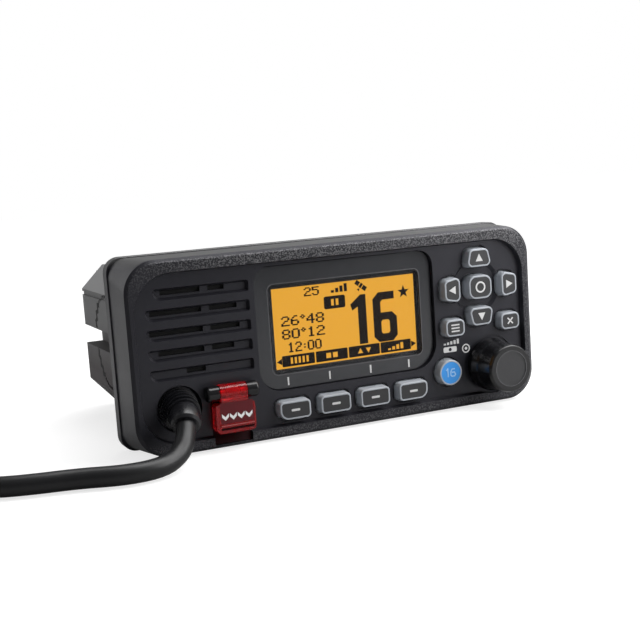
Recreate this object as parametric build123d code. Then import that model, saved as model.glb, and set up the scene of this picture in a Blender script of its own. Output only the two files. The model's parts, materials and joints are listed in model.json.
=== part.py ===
"""Fixed-mount marine radio with its hand microphone on a curly cord.

Millimetres, +X to the right of the face, +Y towards the back, +Z up. Pieces are drawn from the plane
of the rim, y = 0, and the surface the radio stands on, z = 0. put() then moves each of them so that
the origin lies under the middle of the foot strip, which is the bottom of the bezel's rear lip.
"""
import os
from math import atan2, cos, degrees, pi, radians, sin, sqrt, tan

from build123d import *

# ---------------------------------------------------------------- bezel
FACE_WIDTH = 156.5
FACE_HEIGHT = 66.5
CORNER_R = 11.0
BEZEL_DEPTH = 23.2
LIP_DEPTH = 4.6        # rear lip, which stands proud of the drafted wall
LIP_PROUD = 0.4
LIP_SOFT = 0.8         # share of the step that is rounded
LIP_R = 5.0            # the wall's corners get tighter from CORNER_R in front to this at the lip
WALL_DRAFT = 0.6       # degrees
RIM_BEVEL_WIDTH = 1.2  # sloped edge round the front
RIM_BEVEL_DEPTH = 0.8
RIM_LEFT = 3.7         # from the face's edges to the sunk panel
RIM_RIGHT = 4.3
RIM_TOP = 5.6
RIM_BOTTOM = 5.0
PANEL_R = (13.0, 12.0, 11.0, 12.0)   # top left, top right, bottom right, bottom left
PANEL_DEPTH = 2.0      # how far the panel is sunk behind the rim
PANEL_SLOPE = 16.0     # degrees
PANEL_WALL = 2.5
BEZEL_WALL = 2.2       # round the seat of the chassis
SEAT_DEPTH = 6.2
LEDGE = 2.3            # what the gasket is pressed on
GASKET = 1.2

LEFT = -FACE_WIDTH / 2
RIGHT = FACE_WIDTH / 2
MID = FACE_HEIGHT / 2
PANEL_BACK = PANEL_DEPTH + PANEL_WALL
LEDGE_Y = BEZEL_DEPTH - SEAT_DEPTH
FOOT_Y = BEZEL_DEPTH - LIP_DEPTH / 2

# ---------------------------------------------------------------- chassis
RADIO_DEPTH = 110.0    # rim to the ends of the cooling fins
CHASSIS_INSET = 8.25   # its sides, from the face's edges
CHASSIS_DROP = 7.2     # its top, from the face's top
CHASSIS_FLOOR = 4.4
TOP_CHAMFER = (9.0, 8.8)
LOW_CHAMFER = (9.0, 10.0)
SIDE_GROOVE = (0.9, 1.4, 0.6)      # below the top chamfer, and how tall and deep
CASE_WALL = 3.0
FLANGE_GAP = 0.3
FIN_LONG = 15.5        # how far they reach behind the case
FIN_INSET = (10.0, 3.45)           # the fin fields, from the case's sides and from its top and foot
FIN_PITCH = 6.0
FIN_THICK = 2.2
FIN_ROOT = 3.5
PLATE_HALF = 27.0      # flat in the middle of the back that holds the sockets
RIB_THICK = 2.6        # cooling ribs under the case, which it stands on
RIB_INSET = 6.0        # the outer ribs, from the edges of the flat under the case
RIB_COUNT = 6
RIB_START = 30.0
BOLT_Y = 58.5
BOLT_DROP = 0.75       # below the middle of the face
BOLT_R = 2.5
BOLT_HOLE = 5.0
SLOT_HIGH = 7.3
SLOT_DEEP = 6.5
TEETH = 60             # zigzag groove that a bracket's toothed washer grips
TEETH_R = (16.9, 17.7)
TEETH_WIDE = 0.9
TOOTH_DEEP = 0.8
SCREW_INSET = 8.0      # panel screws, from the face's edges
SCREW_R = 1.5
SCREW_HEAD = (2.8, 2.0)
SCREW_SOCKET = (1.2, 1.1)
SCREW_BITE = 9.0
SCREW_FIT = 0.15
BOSS_R = 3.4

CHASSIS_WIDTH = FACE_WIDTH - 2 * CHASSIS_INSET
CHASSIS_TOP = FACE_HEIGHT - CHASSIS_DROP
BACK_Y = RADIO_DEPTH - FIN_LONG
BOLT_Z = MID - BOLT_DROP
RIB_PITCH = (CHASSIS_WIDTH - 2 * LOW_CHAMFER[0] - 2 * RIB_INSET) / (RIB_COUNT - 1)

# ---------------------------------------------------------------- display
DISPLAY_LEFT = 45.75   # its edges, from the face's
DISPLAY_RIGHT = 41.15
DISPLAY_TOP = 6.6
DISPLAY_FOOT = 16.5
DISPLAY_R = (5.6, 5.6, 9.5, 8.0)   # top left, top right, bottom right, bottom left
DISPLAY_SUNK = 1.6
DISPLAY_PLATE = 2.0
DISPLAY_GAP = 0.15
DISPLAY_SOFT = 0.3
LENS_SIDE = 5.1        # from the plate's sides
LENS_END = 5.9         # from its top and foot
LENS_SHIFT = (0.2, -0.6)           # its middle, from the plate's
LENS_R = 2.2
LENS_SUNK = 0.15
GLASS_LAP = (1.8, 2.2)             # how far the glass reaches behind the plate
GLASS_THICK = 2.0
GLASS_GAP = 0.3
FRAME_WALL = 2.2       # moulded wall that holds the glass behind the panel
BACKLIGHT_LAP = (1.5, 1.3)         # how far the backlight reaches past the glass
BACKLIGHT_R = 1.5

DISPLAY_WIDE = FACE_WIDTH - DISPLAY_LEFT - DISPLAY_RIGHT
DISPLAY_TALL = FACE_HEIGHT - DISPLAY_TOP - DISPLAY_FOOT
DISPLAY_AT = (LEFT + DISPLAY_LEFT + DISPLAY_WIDE / 2, DISPLAY_FOOT + DISPLAY_TALL / 2)
LENS = (DISPLAY_WIDE - 2 * LENS_SIDE, DISPLAY_TALL - 2 * LENS_END)
LENS_AT = (DISPLAY_AT[0] + LENS_SHIFT[0], DISPLAY_AT[1] + LENS_SHIFT[1])
GLASS = (LENS[0] + 2 * GLASS_LAP[0], LENS[1] + 2 * GLASS_LAP[1])
BACKLIGHT = (GLASS[0] + 2 * BACKLIGHT_LAP[0], GLASS[1] + 2 * BACKLIGHT_LAP[1])

# ---------------------------------------------------------------- boards
BOARD_Y = 12.0
BOARD = 1.6
BOARD_LEFT = 47.75     # from the face's left edge
BOARD_ARM = (21.75, 22.5)          # the arm that reaches under the distress key
BOARD_INSET = 6.0      # from the face's right edge and foot
BOARD_TOP = 6.6
BOARD_GAP = 0.3
MAT = 1.2
MAT_TOP = 6.5
MAT_PAD = 7.0
PAD_R = (1.7, 2.6)
MAT_HOLE = 0.8         # radius of its opening for the encoder, in encoder widths
MAIN_BOARD_SIDE = 9.0              # from the case's sides
MAIN_BOARD_LONG = 58.0
MAIN_BOARD_AT = (27.0, 15.0)       # front edge and underside
MAIN_BOARD = (CHASSIS_WIDTH - 2 * MAIN_BOARD_SIDE, MAIN_BOARD_LONG)
POST_R = 3.0
CHIP = 1.2             # height of the chips, which are given as x, z, width and length
CHIPS = [(10.0, 30.0, 14.0, 14.0), (-12.0, 38.0, 8.0, 10.0), (40.0, 46.0, 9.0, 7.0)]
SHIELD = (54.0, 40.0, 9.0)
MODULE = (40.0, 12.0, 7.0)

# ---------------------------------------------------------------- keys
KEY_PROUD = 3.2        # above the panel
KEY_RING = 0.6         # pale edge round a key's dark face
KEY_SPREAD = 0.3       # how much wider a key is at its foot
KEY_GAP = 0.35
KEY_WELL = 0.9
KEY_WELL_DEEP = 0.7
KEY_FLANGE = 0.9       # how far it reaches past the key
KEY_FLANGE_THICK = 1.0
KEY_INSET = 0.2
KEY_SOFT = 0.3
PAD_AT = (23.05, 22.1) # middle of the five-key cluster, from the face's right edge and its top
ARROW_INNER = 9.0
ARROW_OUTER = 6.6
SIDE_INNER = 8.0
SIDE_OUTER = 5.9
ARROW_HIGH = 5.3
ARROW_OUT = 10.8
SIDE_OUT = (11.9, 12.5)            # left and right
ARROW_R = 1.3
ENTER = (8.5, 7.3)
ENTER_R = 2.3
MENU = (6.7, 4.9)
MENU_OUT = (11.5, 12.3, 13.9)      # to the left, to the right, and down
MENU_R = 1.3
DISH_R = 10.0
DISH_DEEP = 1.1
ROUND_R = 4.05
ROUND_AT = (37.45, 18.95)          # from the face's right edge, and below its middle
SOFT_KEYS = 4
SOFT_GAP = 5.2         # between the keys under the display
SOFT_TALL = 5.1
SOFT_INSET = 3.8       # the row is that much shorter than the display at each end
SOFT_SHIFT = -0.6
SOFT_Z = 9.9
SOFT_R = 0.9
SOFT_END_R = 2.6

PAD_C = (RIGHT - PAD_AT[0], FACE_HEIGHT - PAD_AT[1])
ROUND_C = (RIGHT - ROUND_AT[0], MID - ROUND_AT[1])
KEY_FACE = PANEL_DEPTH - KEY_PROUD
KEY_TAPER = degrees(atan2(KEY_SPREAD, KEY_PROUD))

# ---------------------------------------------------------------- speaker
SLOTS = 5
SLOT_PITCH = 6.68
SLOT_TALL = 3.95
SLOT_DROP = 10.3       # the top slot, from the face's top
SLOT_LEFT = 7.3        # from the face's left edge
SLOT_RIGHT = 43.9
FIRST_SLOT_IN = 3.2    # the top slot is that much shorter at its left
SLOT_R = (0.9, 0.9, 0.9, 2.9)
SLOT_SUNK = 1.5
SLOT_SLOPE = 28.0      # degrees
SPEAKER_AT = (24.5, 23.2)          # from the face's left edge and its top
SOUND_R = 15.9
SOUND_TALL = 1.7
SOUND_RIB = (28.5, 2.7)
SHORTEST_SOUND = 3.6
SPEAKER_R = 17.3
SPEAKER_DEEP = 13.0
CLOTH = 0.4
CONE_GAP = 0.35
MAGNET = (11.0, 6.0)
MAGNET_WALL = 2.5      # round the coil's gap
BASKET = (1.6, 2.8)    # back of the basket's edge, and where its cone begins
SURROUND = 2.4         # how far it reaches in from the sound opening
SURROUND_FACE = 0.9
CONE_BACK = 1.5        # back of the surround, and thickness of the magnet's floor
CONE_DEEP = (2.0, 3.4, 1.5, 0.4)       # gap to the magnet, then the dust cap's top and edge, and the foot
CONE_FRONT = 1.2
DUST_CAP = (1.2, 4.2, 4.6)
CONE_IN = (3.0, 1.6)   # the cone's and the surround's edges, from the sound opening

# ---------------------------------------------------------------- distress key
COVER_MID = 34.05      # from the face's left edge
COVER_WIDE = 14.0
COVER_FOOT = 6.2
HINGE_Z = 19.6
HINGE_Y = -0.8
BARREL_R = 2.9
BARREL_LONG = 9.4
BARREL_HOLLOW = (1.75, 5.0)
CAP_R = 2.7
CAP_LONG = 4.2
CAP_GAP = 0.3
CAP_FOOT = 1.5         # height of the caps' feet, in cap radii
PIN_R = 0.8
PIN_FIT = 0.05
COVER_WALL = 1.3
COVER_SKIRT = 2.6
COVER_RIDGE = (8.7, 0.9, 0.35)
COVER_BACK = 0.25      # the flap's front, behind the barrel's
COVER_SHOULDER = 0.6
COVER_CORNERS = [1.0, 1.0, 1.8, 1.8]
BARREL_WINDOW = (3.4, 2.6)         # opening that shows the spring
WIRE_R = 0.3
SPRING_TURNS = 5
SPRING_PITCH = 2.4     # in wire radii
SPRING_FIT = 0.03
TRAY = (13.2, 15.4)
TRAY_GAP = 0.2
TRAY_CORNER = 0.5
TRAY_FOOT = 2.0
TRAY_LIP = (0.9, 7.6)              # front of the scoop's foot, and where its slope ends
TRAY_SUNK = 1.4
TRAY_FLOOR = 1.0
TRAY_BOW = 0.3         # share of the scoop's depth at the middle of its slope
BUTTON = (9.6, 5.6)
BUTTON_Z = 11.6
BUTTON_FACE = -0.2
BUTTON_R = 1.2

# ---------------------------------------------------------------- volume knob
KNOB_AT = (18.75, 18.35)           # from the face's right edge, and below its middle
KNOB_R = 9.7
KNOB_FOOT = 1.6
KNOB_LONG = 14.2
KNOB_SKIRT = 4.6
KNOB_NECK = 8.9
KNOB_TOP = 8.4
KNOB_HOLLOW = (8.0, 5.0)
KNOB_BULGE = 0.1       # of the skirt's middle
KNOB_STEP = (0.5, 0.9) # over the skirt: how far in, and how tall
KNOB_SHOULDER = (0.45, 1.4)
KNOB_SOFT = 0.45
SAME = 0.01            # sizes closer than this are the same
CAP_FIT = 0.05
CAP_SOFT = 0.25
KNOB_WELL = (11.0, 0.6)            # shallow recess round the knob, which cuts into the rim
CAP_DISC = (7.3, 0.8)
CAP_RECESS = 0.25
SHAFT_R = 3.0
SHAFT_FIT = 0.05
BUSH_R = 3.5
COLLAR = (6.8, 1.6)
NUT = (10.0, 1.4)
BUSH_PROUD = 0.4
ENCODER = (12.6, 12.6)
PLUNGER = (4.2, 1.2)
PUSH_TRAVEL = 0.5
SHAFT_STUB = 1.6       # how far it reaches into the encoder
ENCODER_GAP = 0.3
ENCODER_WALL = 1.0
ENCODER_CORNER = 1.0

# ---------------------------------------------------------------- microphone outlet
BOOT_AT = (16.4, 17.55)            # from the face's left edge, and below its middle
BOOT_WELL = (7.9, 2.4)
BOOT_WELL_IN = 0.6     # its wall starts that far in, and slopes out
BOOT_WELL_SLOPE = 14.0 # degrees
BOOT_FLOOR = 1.6
BOOT_R = (6.8, 5.6)    # ribs at the panel and at the sleeve
BOOT_CORE = (5.6, 4.9)
BOOT_LONG = 13.2
BOOT_RINGS = 5
BOOT_RING = 0.9
BOOT_SLEEVE = (0.62, 5.3, 5.0, 4.3)    # share of the length where it starts, and its radii
BOOT_BEND = 33.0       # degrees downwards
BOOT_SWING = 20.0      # degrees to the left, most of it near the end
BOOT_NECK = 4.0
BOOT_NUT = (13.0, 3.0)

# ---------------------------------------------------------------- sockets at the back
SO_R = 7.9
SO_LONG = 12.5
SO_FLANGE = (24.0, 2.0)
SO_BORE = 5.2
SO_CORE = (5.15, 10.5)
SO_PIN = (2.3, 1.6)
SO_CORNER = 2.0
SO_CHAMFER = 0.6
SO_FIT = 0.1
SO_AT = (-13.5, MID + 4.75)
POWER = (17.0, 12.0, 9.0)
POWER_AT = (14.0, MID + 7.25)
POWER_BLADE = (1.0, 5.0)
POWER_FLANGE = (3.0, 1.5)
POWER_WALL = 1.8
POWER_FLOOR = 2.2
POWER_CORNER = (2.0, 1.5, 0.8)         # of the flange, the shell and the opening
POWER_BLADES = 0.4     # apart, as a share of the shell's width
AUX_R = 5.6
AUX_LONG = 7.0
AUX_SEAT = 2.0
AUX_CAP = 1.2          # past the seat's radius
AUX_CHAMFER = 0.8
AUX_FLUTES = 16
AUX_FLUTE = (0.7, 1.5) # radius, and how far its middle lies past the seat's radius
AUX_AT = (14.0, MID - 13.75)
GROUND_AT = (-13.5, MID - 16.25)
GROUND = (3.4, 2.4)    # head radius and height
GROUND_CROSS = (0.8, 1.0)

# ---------------------------------------------------------------- cord
WIRE = 6.5
CURL = 19.0            # outside of the curly stretch
CURL_TURN = 13.0       # radius of its turn back
CURL_X = -136.0
CURL_START = 12.0
CURL_FAR = 104.0
CURL_END = 22.0
ROUTE_SHARE = 0.45
FLOOR_Z = WIRE / 2
LEAD_ROUTE = [(-69.3, -16.9, 4.6), (-76.5, -21.7, 3.3), (-88.0, -22.6, FLOOR_Z), (-101.0, -17.0, FLOOR_Z),
              (-114.0, -14.5, FLOOR_Z), (-125.5, -10.5, FLOOR_Z)]
LEAD_STRAIGHT = 13.0   # the run into the curly stretch
TAIL_RUN = [(0, 10.5, 0), (0.6, 21.5, 0), (5.0, 33.0, 0), (12.5, 42.5, 1.2)]    # left, down and up from it
MIC_TURN = [(21.5, 37.8, 3.6), (8.8, 37.8, 6.8)]       # from the microphone's foot, and up
TAIL_STRAIGHT = 12.0   # the run into the microphone

# ---------------------------------------------------------------- hand microphone
MIC = (56.0, 92.0)
MIC_FOOT = 46.0        # width at the cord end
MIC_CORNER = 9.0
MIC_HEAD = (1.4, 2.0)  # radii of the head's corners and of its waist, in foot corners
MIC_WAIST = 0.62       # share of the length where the sides turn straight
MIC_FRONT = 11.6
MIC_BACK = 13.8
MIC_FRONT_SLOPE = 14.0
MIC_BACK_SLOPE = 12.0
MIC_SOFT = 3.0
MIC_WALL = 2.2
MIC_AT = (-207.5, 12.0)
STUD_R = 8.0
STUD_NECK = (4.0, 1.9)
STUD_LONG = 3.2
STUD_SOFT = 0.6
STUD_Y = 62.0
MIC_BOOT_LONG = 16.0
MIC_BOOT_R = (6.0, 4.3)
MIC_BOOT_RINGS = 4
MIC_BOOT_PLAIN = 2.0   # before the first ring
MIC_BOOT_CUT = (0.9, 0.35, 0.65)       # depth of the grooves, and the share of a ring's length they take
MIC_BOOT_FIT = 0.1
PTT = (40.0, 12.0)
PTT_PROUD = 2.6
PTT_DEEP = 9.0
PTT_Y = 52.0
MIC_KEY = (11.0, 5.6)
MIC_KEYS_Y = 79.0
MIC_KEY_OUT = 9.5
MIC_KEY_PROUD = 1.2
MIC_KEY_GAP = 0.35
MIC_KEY_SOFT = 0.5
MIC_KEY_FLANGE = (0.8, 1.0)            # past the gap, and its thickness
PTT_SOFT = 1.2
GRILLE_Y = 34.0
GRILLE = (26.0, 2.0)
GRILLE_PITCH = 5.0
GRILLES = 6
GRILLE_STEP = 3.0      # that much shorter for each slot away from the middle
CAPSULE = (13.0, 5.0)
MIC_SCREW_IN = (9.5, 11.0)
MIC_SCREW = (2.4, 1.4)
MIC_SCREW_FIT = 0.1
MIC_SCREW_CROSS = (2.4, 0.6)
MIC_POST = 1.2         # wall of a screw's post


# ================================================================ helpers
def front(y):
    """Plane at depth y whose sketches are drawn as seen from the front, (x, z)."""
    return Plane(origin=(0, y, 0), x_dir=(1, 0, 0), z_dir=(0, -1, 0))


def slab(sketch, y_front, y_back, taper=0.0):
    """A front-view sketch, drawn at y_back, as a solid that ends at y_front."""
    return extrude(front(y_back) * sketch, y_back - y_front, taper=taper)


def rounded(points, radii):
    """A closed outline through the points, with one radius for each."""
    shape = make_face(Polyline(*points, close=True))
    for (x, y), radius in zip(points, radii):
        corner = shape.vertices().sort_by_distance((x, y, 0))[0]
        shape = fillet(corner, radius)
    return shape


def rounded_box(x0, x1, z0, z1, radii):
    """A rectangle with its radii in the order top left, top right, bottom right, bottom left."""
    return rounded([(x0, z1), (x1, z1), (x1, z0), (x0, z0)], radii)


def even_box(centre, size, radius):
    return Pos(*centre) * RectangleRounded(*size, radius)


def disc(centre, radius):
    return Pos(*centre) * Circle(radius)


def turned(profile, centre):
    """A profile of (radius, y) points turned about the front-to-back line through centre."""
    x, z = centre
    face = make_face(Polyline(*[(x + r, y, z) for r, y in profile], close=True))
    return revolve(face, Axis((x, 0, z), (0, 1, 0)))


def screw(centre, y_head, length, radius, head, socket):
    """A pan-head screw whose head lies behind y_head and whose shank runs forward."""
    shank = slab(disc(centre, radius), y_head - length, y_head)
    cap = slab(disc(centre, head[0]), y_head, y_head + head[1])
    cap = fillet(cap.faces().sort_by(Axis.Y)[-1].edges(), head[1] / 3)
    star = Pos(*centre) * RegularPolygon(socket[0], 6)
    return shank + cap - slab(star, y_head + head[1] - socket[1], y_head + head[1])


def mirrored(shape):
    return mirror(shape, about=Plane.YZ)


# ================================================================ key outlines
def arrow_outline(inner, outer, out, turn):
    """A key that narrows away from the cluster's middle."""
    near = out - ARROW_HIGH / 2
    far = out + ARROW_HIGH / 2
    points = [(-inner / 2, near), (inner / 2, near), (outer / 2, far), (-outer / 2, far)]
    return Pos(*PAD_C) * Rot(0, 0, turn) * rounded(points, [ARROW_R] * len(points))


def key_outlines():
    """Name to the outline of each key's dark face."""
    x, z = PAD_C
    menu_out, clear_out, menu_down = MENU_OUT
    keys = {
        "key_up": arrow_outline(ARROW_INNER, ARROW_OUTER, ARROW_OUT, 0),
        "key_left": arrow_outline(SIDE_INNER, SIDE_OUTER, SIDE_OUT[0], 90),
        "key_down": arrow_outline(ARROW_INNER, ARROW_OUTER, ARROW_OUT, 180),
        "key_right": arrow_outline(SIDE_INNER, SIDE_OUTER, SIDE_OUT[1], 270),
        "key_enter": even_box(PAD_C, ENTER, ENTER_R),
        "key_menu": even_box((x - menu_out, z - menu_down), MENU, MENU_R),
        "key_clear": even_box((x + clear_out, z - menu_down), MENU, MENU_R),
        "key_round": disc(ROUND_C, ROUND_R),
    }
    pitch = (DISPLAY_WIDE - 2 * SOFT_INSET) / SOFT_KEYS
    half = (pitch - SOFT_GAP) / 2
    for i in range(SOFT_KEYS):
        mid = DISPLAY_AT[0] + SOFT_SHIFT + (i - (SOFT_KEYS - 1) / 2) * pitch
        radii = [SOFT_R] * 4
        if i == 0:
            radii[3] = SOFT_END_R
        if i == SOFT_KEYS - 1:
            radii[2] = SOFT_END_R
        low = SOFT_Z - SOFT_TALL / 2
        box = rounded_box(mid - half, mid + half, low, low + SOFT_TALL, radii)
        keys[f"softkey_{i + 1}"] = box
    return keys


KEYS = key_outlines()


def key_foot(face):
    return offset(face, KEY_RING + KEY_SPREAD)


def key(face):
    """A moulded key: tapered above the panel, straight through it, with a flange behind."""
    foot = key_foot(face)
    top = slab(foot, KEY_FACE, PANEL_DEPTH, taper=KEY_TAPER)
    top = fillet(top.faces().sort_by(Axis.Y)[0].edges(), KEY_SOFT)
    stem = slab(foot, PANEL_DEPTH, PANEL_BACK)
    flange = slab(offset(foot, KEY_FLANGE), PANEL_BACK, PANEL_BACK + KEY_FLANGE_THICK)
    return top + stem + flange - slab(face, KEY_FACE, KEY_FACE + KEY_INSET)


# ================================================================ front panel
COVER_X = LEFT + COVER_MID
SPEAKER_C = (LEFT + SPEAKER_AT[0], FACE_HEIGHT - SPEAKER_AT[1])
KNOB_C = (RIGHT - KNOB_AT[0], MID - KNOB_AT[1])
BOOT_C = (LEFT + BOOT_AT[0], MID - BOOT_AT[1])
SCREWS = [
    (side * (RIGHT - SCREW_INSET), z)
    for side in (-1, 1)
    for z in (SCREW_INSET, FACE_HEIGHT - SCREW_INSET)
]


def bezel_section(y, inset, radius):
    """The bezel's outline at depth y."""
    size = (FACE_WIDTH - 2 * inset, FACE_HEIGHT - 2 * inset)
    return front(y) * even_box((0, MID), size, radius)


def bezel_block():
    """The drafted block with its sloped rim, rear lip and sunk panel."""
    drafted = LIP_PROUD + BEZEL_DEPTH * tan(radians(WALL_DRAFT))
    crest = bezel_section(0, drafted + RIM_BEVEL_WIDTH, CORNER_R - RIM_BEVEL_WIDTH)
    edge = bezel_section(RIM_BEVEL_DEPTH, drafted, CORNER_R)
    block = loft([crest, edge, bezel_section(BEZEL_DEPTH, LIP_PROUD, LIP_R)], ruled=True)
    lip = slab(even_box((0, MID), (FACE_WIDTH, FACE_HEIGHT), LIP_R + LIP_PROUD),
               BEZEL_DEPTH - LIP_DEPTH, BEZEL_DEPTH)
    lip = fillet(lip.faces().sort_by(Axis.Y)[0].edges(), LIP_PROUD * LIP_SOFT)
    sunk = rounded_box(LEFT + RIM_LEFT, RIGHT - RIM_RIGHT, RIM_BOTTOM, FACE_HEIGHT - RIM_TOP, PANEL_R)
    return block + lip - slab(sunk, -PANEL_DEPTH, PANEL_DEPTH, taper=-PANEL_SLOPE)


def bezel_hollow():
    """What is cut from the back: the seat of the chassis and the cavity in front of it."""
    seat = (FACE_WIDTH - 2 * (BEZEL_WALL + LIP_PROUD), FACE_HEIGHT - 2 * (BEZEL_WALL + LIP_PROUD))
    cavity = (seat[0] - 2 * LEDGE, seat[1] - 2 * LEDGE)
    radius = CORNER_R - BEZEL_WALL
    return (slab(even_box((0, MID), seat, radius), LEDGE_Y, BEZEL_DEPTH)
            + slab(even_box((0, MID), cavity, radius - LEDGE), PANEL_BACK, LEDGE_Y))


def display_box(grow=0.0):
    x, z = DISPLAY_AT
    w, h = DISPLAY_WIDE / 2 + grow, DISPLAY_TALL / 2 + grow
    return rounded_box(x - w, x + w, z - h, z + h, [r + grow for r in DISPLAY_R])


def glass_box(grow=0.0):
    return Pos(*LENS_AT) * Rectangle(GLASS[0] + 2 * grow, GLASS[1] + 2 * grow)


DISPLAY_FACE = PANEL_DEPTH + DISPLAY_SUNK
GLASS_FACE = DISPLAY_FACE + DISPLAY_PLATE


def sound_slots():
    """The five sunk slots of the loudspeaker grille and the openings at their bottoms."""
    cuts = []
    for i in range(SLOTS):
        top = FACE_HEIGHT - SLOT_DROP - i * SLOT_PITCH
        left = LEFT + SLOT_LEFT + (FIRST_SLOT_IN if i == 0 else 0)
        sunk = rounded_box(left, LEFT + SLOT_RIGHT, top - SLOT_TALL, top, SLOT_R)
        inner = offset(sunk, -SLOT_SUNK * tan(radians(SLOT_SLOPE)))
        floor = PANEL_DEPTH + SLOT_SUNK
        cuts.append(slab(inner, PANEL_DEPTH, floor, taper=-SLOT_SLOPE))
        z = top - SLOT_TALL / 2 + SOUND_TALL / 4
        half = sqrt(max(SOUND_R**2 - (z - SPEAKER_C[1]) ** 2, 0))
        rib = LEFT + SOUND_RIB[0]
        spans = [
            (SPEAKER_C[0] - half, rib - SOUND_RIB[1] / 2),
            (rib + SOUND_RIB[1] / 2, SPEAKER_C[0] + half),
        ]
        for x0, x1 in spans:
            if x1 - x0 > SHORTEST_SOUND:
                hole = Pos((x0 + x1) / 2, z) * Rectangle(x1 - x0, SOUND_TALL)
                cuts.append(slab(hole, PANEL_DEPTH, PANEL_BACK))
    return cuts


def front_panel():
    body = bezel_block() - bezel_hollow()
    body += slab(display_box(FRAME_WALL), PANEL_BACK, GLASS_FACE + FRAME_WALL)
    body += [slab(disc(at, BOSS_R), PANEL_BACK, LEDGE_Y) for at in SCREWS]
    well_floor = PANEL_DEPTH + BOOT_WELL[1]
    body += slab(disc(BOOT_C, BOOT_WELL[0] + BOOT_FLOOR), PANEL_BACK, well_floor + BOOT_FLOOR)
    body -= slab(disc(KNOB_C, KNOB_WELL[0]), -PANEL_DEPTH, PANEL_DEPTH + KNOB_WELL[1])
    body += slab(disc(KNOB_C, COLLAR[0]), PANEL_DEPTH - COLLAR[1], PANEL_BACK)
    cuts = [slab(display_box(), PANEL_DEPTH, GLASS_FACE)]
    cuts.append(slab(glass_box(GLASS_GAP), GLASS_FACE, GLASS_FACE + FRAME_WALL))
    cuts += sound_slots()
    cuts.append(slab(disc(PAD_C, DISH_R - DISH_DEEP), PANEL_DEPTH, PANEL_DEPTH + DISH_DEEP, -45))
    for face in KEYS.values():
        foot = key_foot(face)
        cuts.append(slab(offset(foot, KEY_GAP), PANEL_DEPTH, PANEL_BACK))
        cuts.append(slab(offset(foot, KEY_WELL), PANEL_DEPTH, PANEL_DEPTH + KEY_WELL_DEEP))
        cuts.append(slab(offset(foot, KEY_FLANGE + KEY_GAP), PANEL_BACK, MAT_TOP))
    cuts.append(slab(tray_outline(TRAY_GAP), -RIM_BEVEL_DEPTH, PANEL_DEPTH + TRAY_SUNK))
    cuts.append(slab(button_outline(KEY_GAP), PANEL_DEPTH, PANEL_BACK))
    cuts.append(along_x(BARREL_R + KEY_GAP, BARREL_LONG + 2 * CAP_GAP, COVER_X))
    cuts.append(slab(disc(BOOT_C, BOOT_WELL[0] - BOOT_WELL_IN), PANEL_DEPTH, well_floor, -BOOT_WELL_SLOPE))
    cuts.append(slab(disc(BOOT_C, BOOT_NECK), well_floor, well_floor + BOOT_FLOOR))
    cuts.append(slab(disc(KNOB_C, BUSH_R + SHAFT_FIT), PANEL_DEPTH - COLLAR[1], PANEL_BACK))
    cuts += [slab(disc(at, SCREW_R), LEDGE_Y - SCREW_BITE, LEDGE_Y) for at in SCREWS]
    return body - cuts


# ================================================================ distress key
def tray_outline(grow=0.0):
    z0, z1 = TRAY_FOOT - grow, TRAY_FOOT + TRAY[1] + grow
    half = TRAY[0] / 2 + grow
    return rounded_box(COVER_X - half, COVER_X + half, z0, z1, [TRAY_CORNER] * 4)


def button_outline(grow=0.0):
    size = (BUTTON[0] + 2 * grow, BUTTON[1] + 2 * grow)
    return even_box((COVER_X, BUTTON_Z), size, BUTTON_R)


def distress_tray():
    """The red floor under the cover, which slopes forward at its foot as a finger scoop."""
    floor = PANEL_DEPTH + TRAY_SUNK
    lip, bend = TRAY_LIP
    face = floor - TRAY_FLOOR
    foot, top = TRAY_FOOT, TRAY_FOOT + TRAY[1]
    side = Plane(origin=(COVER_X - TRAY[0] / 2, 0, 0), x_dir=(0, 1, 0), z_dir=(1, 0, 0))
    slope = ThreePointArc((face, bend), (face - (face - lip) * TRAY_BOW, (bend + foot) / 2), (lip, foot))
    rest = Polyline((lip, foot), (floor, foot), (floor, top), (face, top), (face, bend))
    tray = extrude(side * make_face([slope, rest]), TRAY[0])
    return tray - slab(button_outline(KEY_GAP), 0, floor)


def distress_button():
    top = slab(button_outline(), BUTTON_FACE, PANEL_BACK)
    top = fillet(top.faces().sort_by(Axis.Y)[0].edges(), KEY_SOFT * 2)
    flange = slab(button_outline(KEY_GAP + KEY_FLANGE), PANEL_BACK, PANEL_BACK + KEY_FLANGE_THICK)
    return top + flange


def along_x(radius, length, mid):
    """A rod along X at the hinge's height."""
    return Pos(mid, HINGE_Y, HINGE_Z) * Rot(0, 90, 0) * Cylinder(radius, length)


def hinge_caps():
    """The two black ends that hold the hinge pin."""
    caps = []
    for side in (-1, 1):
        mid = COVER_X + side * (BARREL_LONG / 2 + CAP_GAP + CAP_LONG / 2)
        cap = along_x(CAP_R, CAP_LONG, mid)
        cap = fillet(cap.faces().sort_by(Axis.X)[0 if side < 0 else -1].edges(), CAP_R / 3)
        foot = Pos(mid, (HINGE_Y + PANEL_DEPTH) / 2, HINGE_Z) * Box(
            CAP_LONG - CAP_R / 2, PANEL_DEPTH - HINGE_Y, CAP_R * CAP_FOOT)
        caps.append(cap + foot - along_x(PIN_R, CAP_LONG + 1, mid - side))
    return caps


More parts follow.
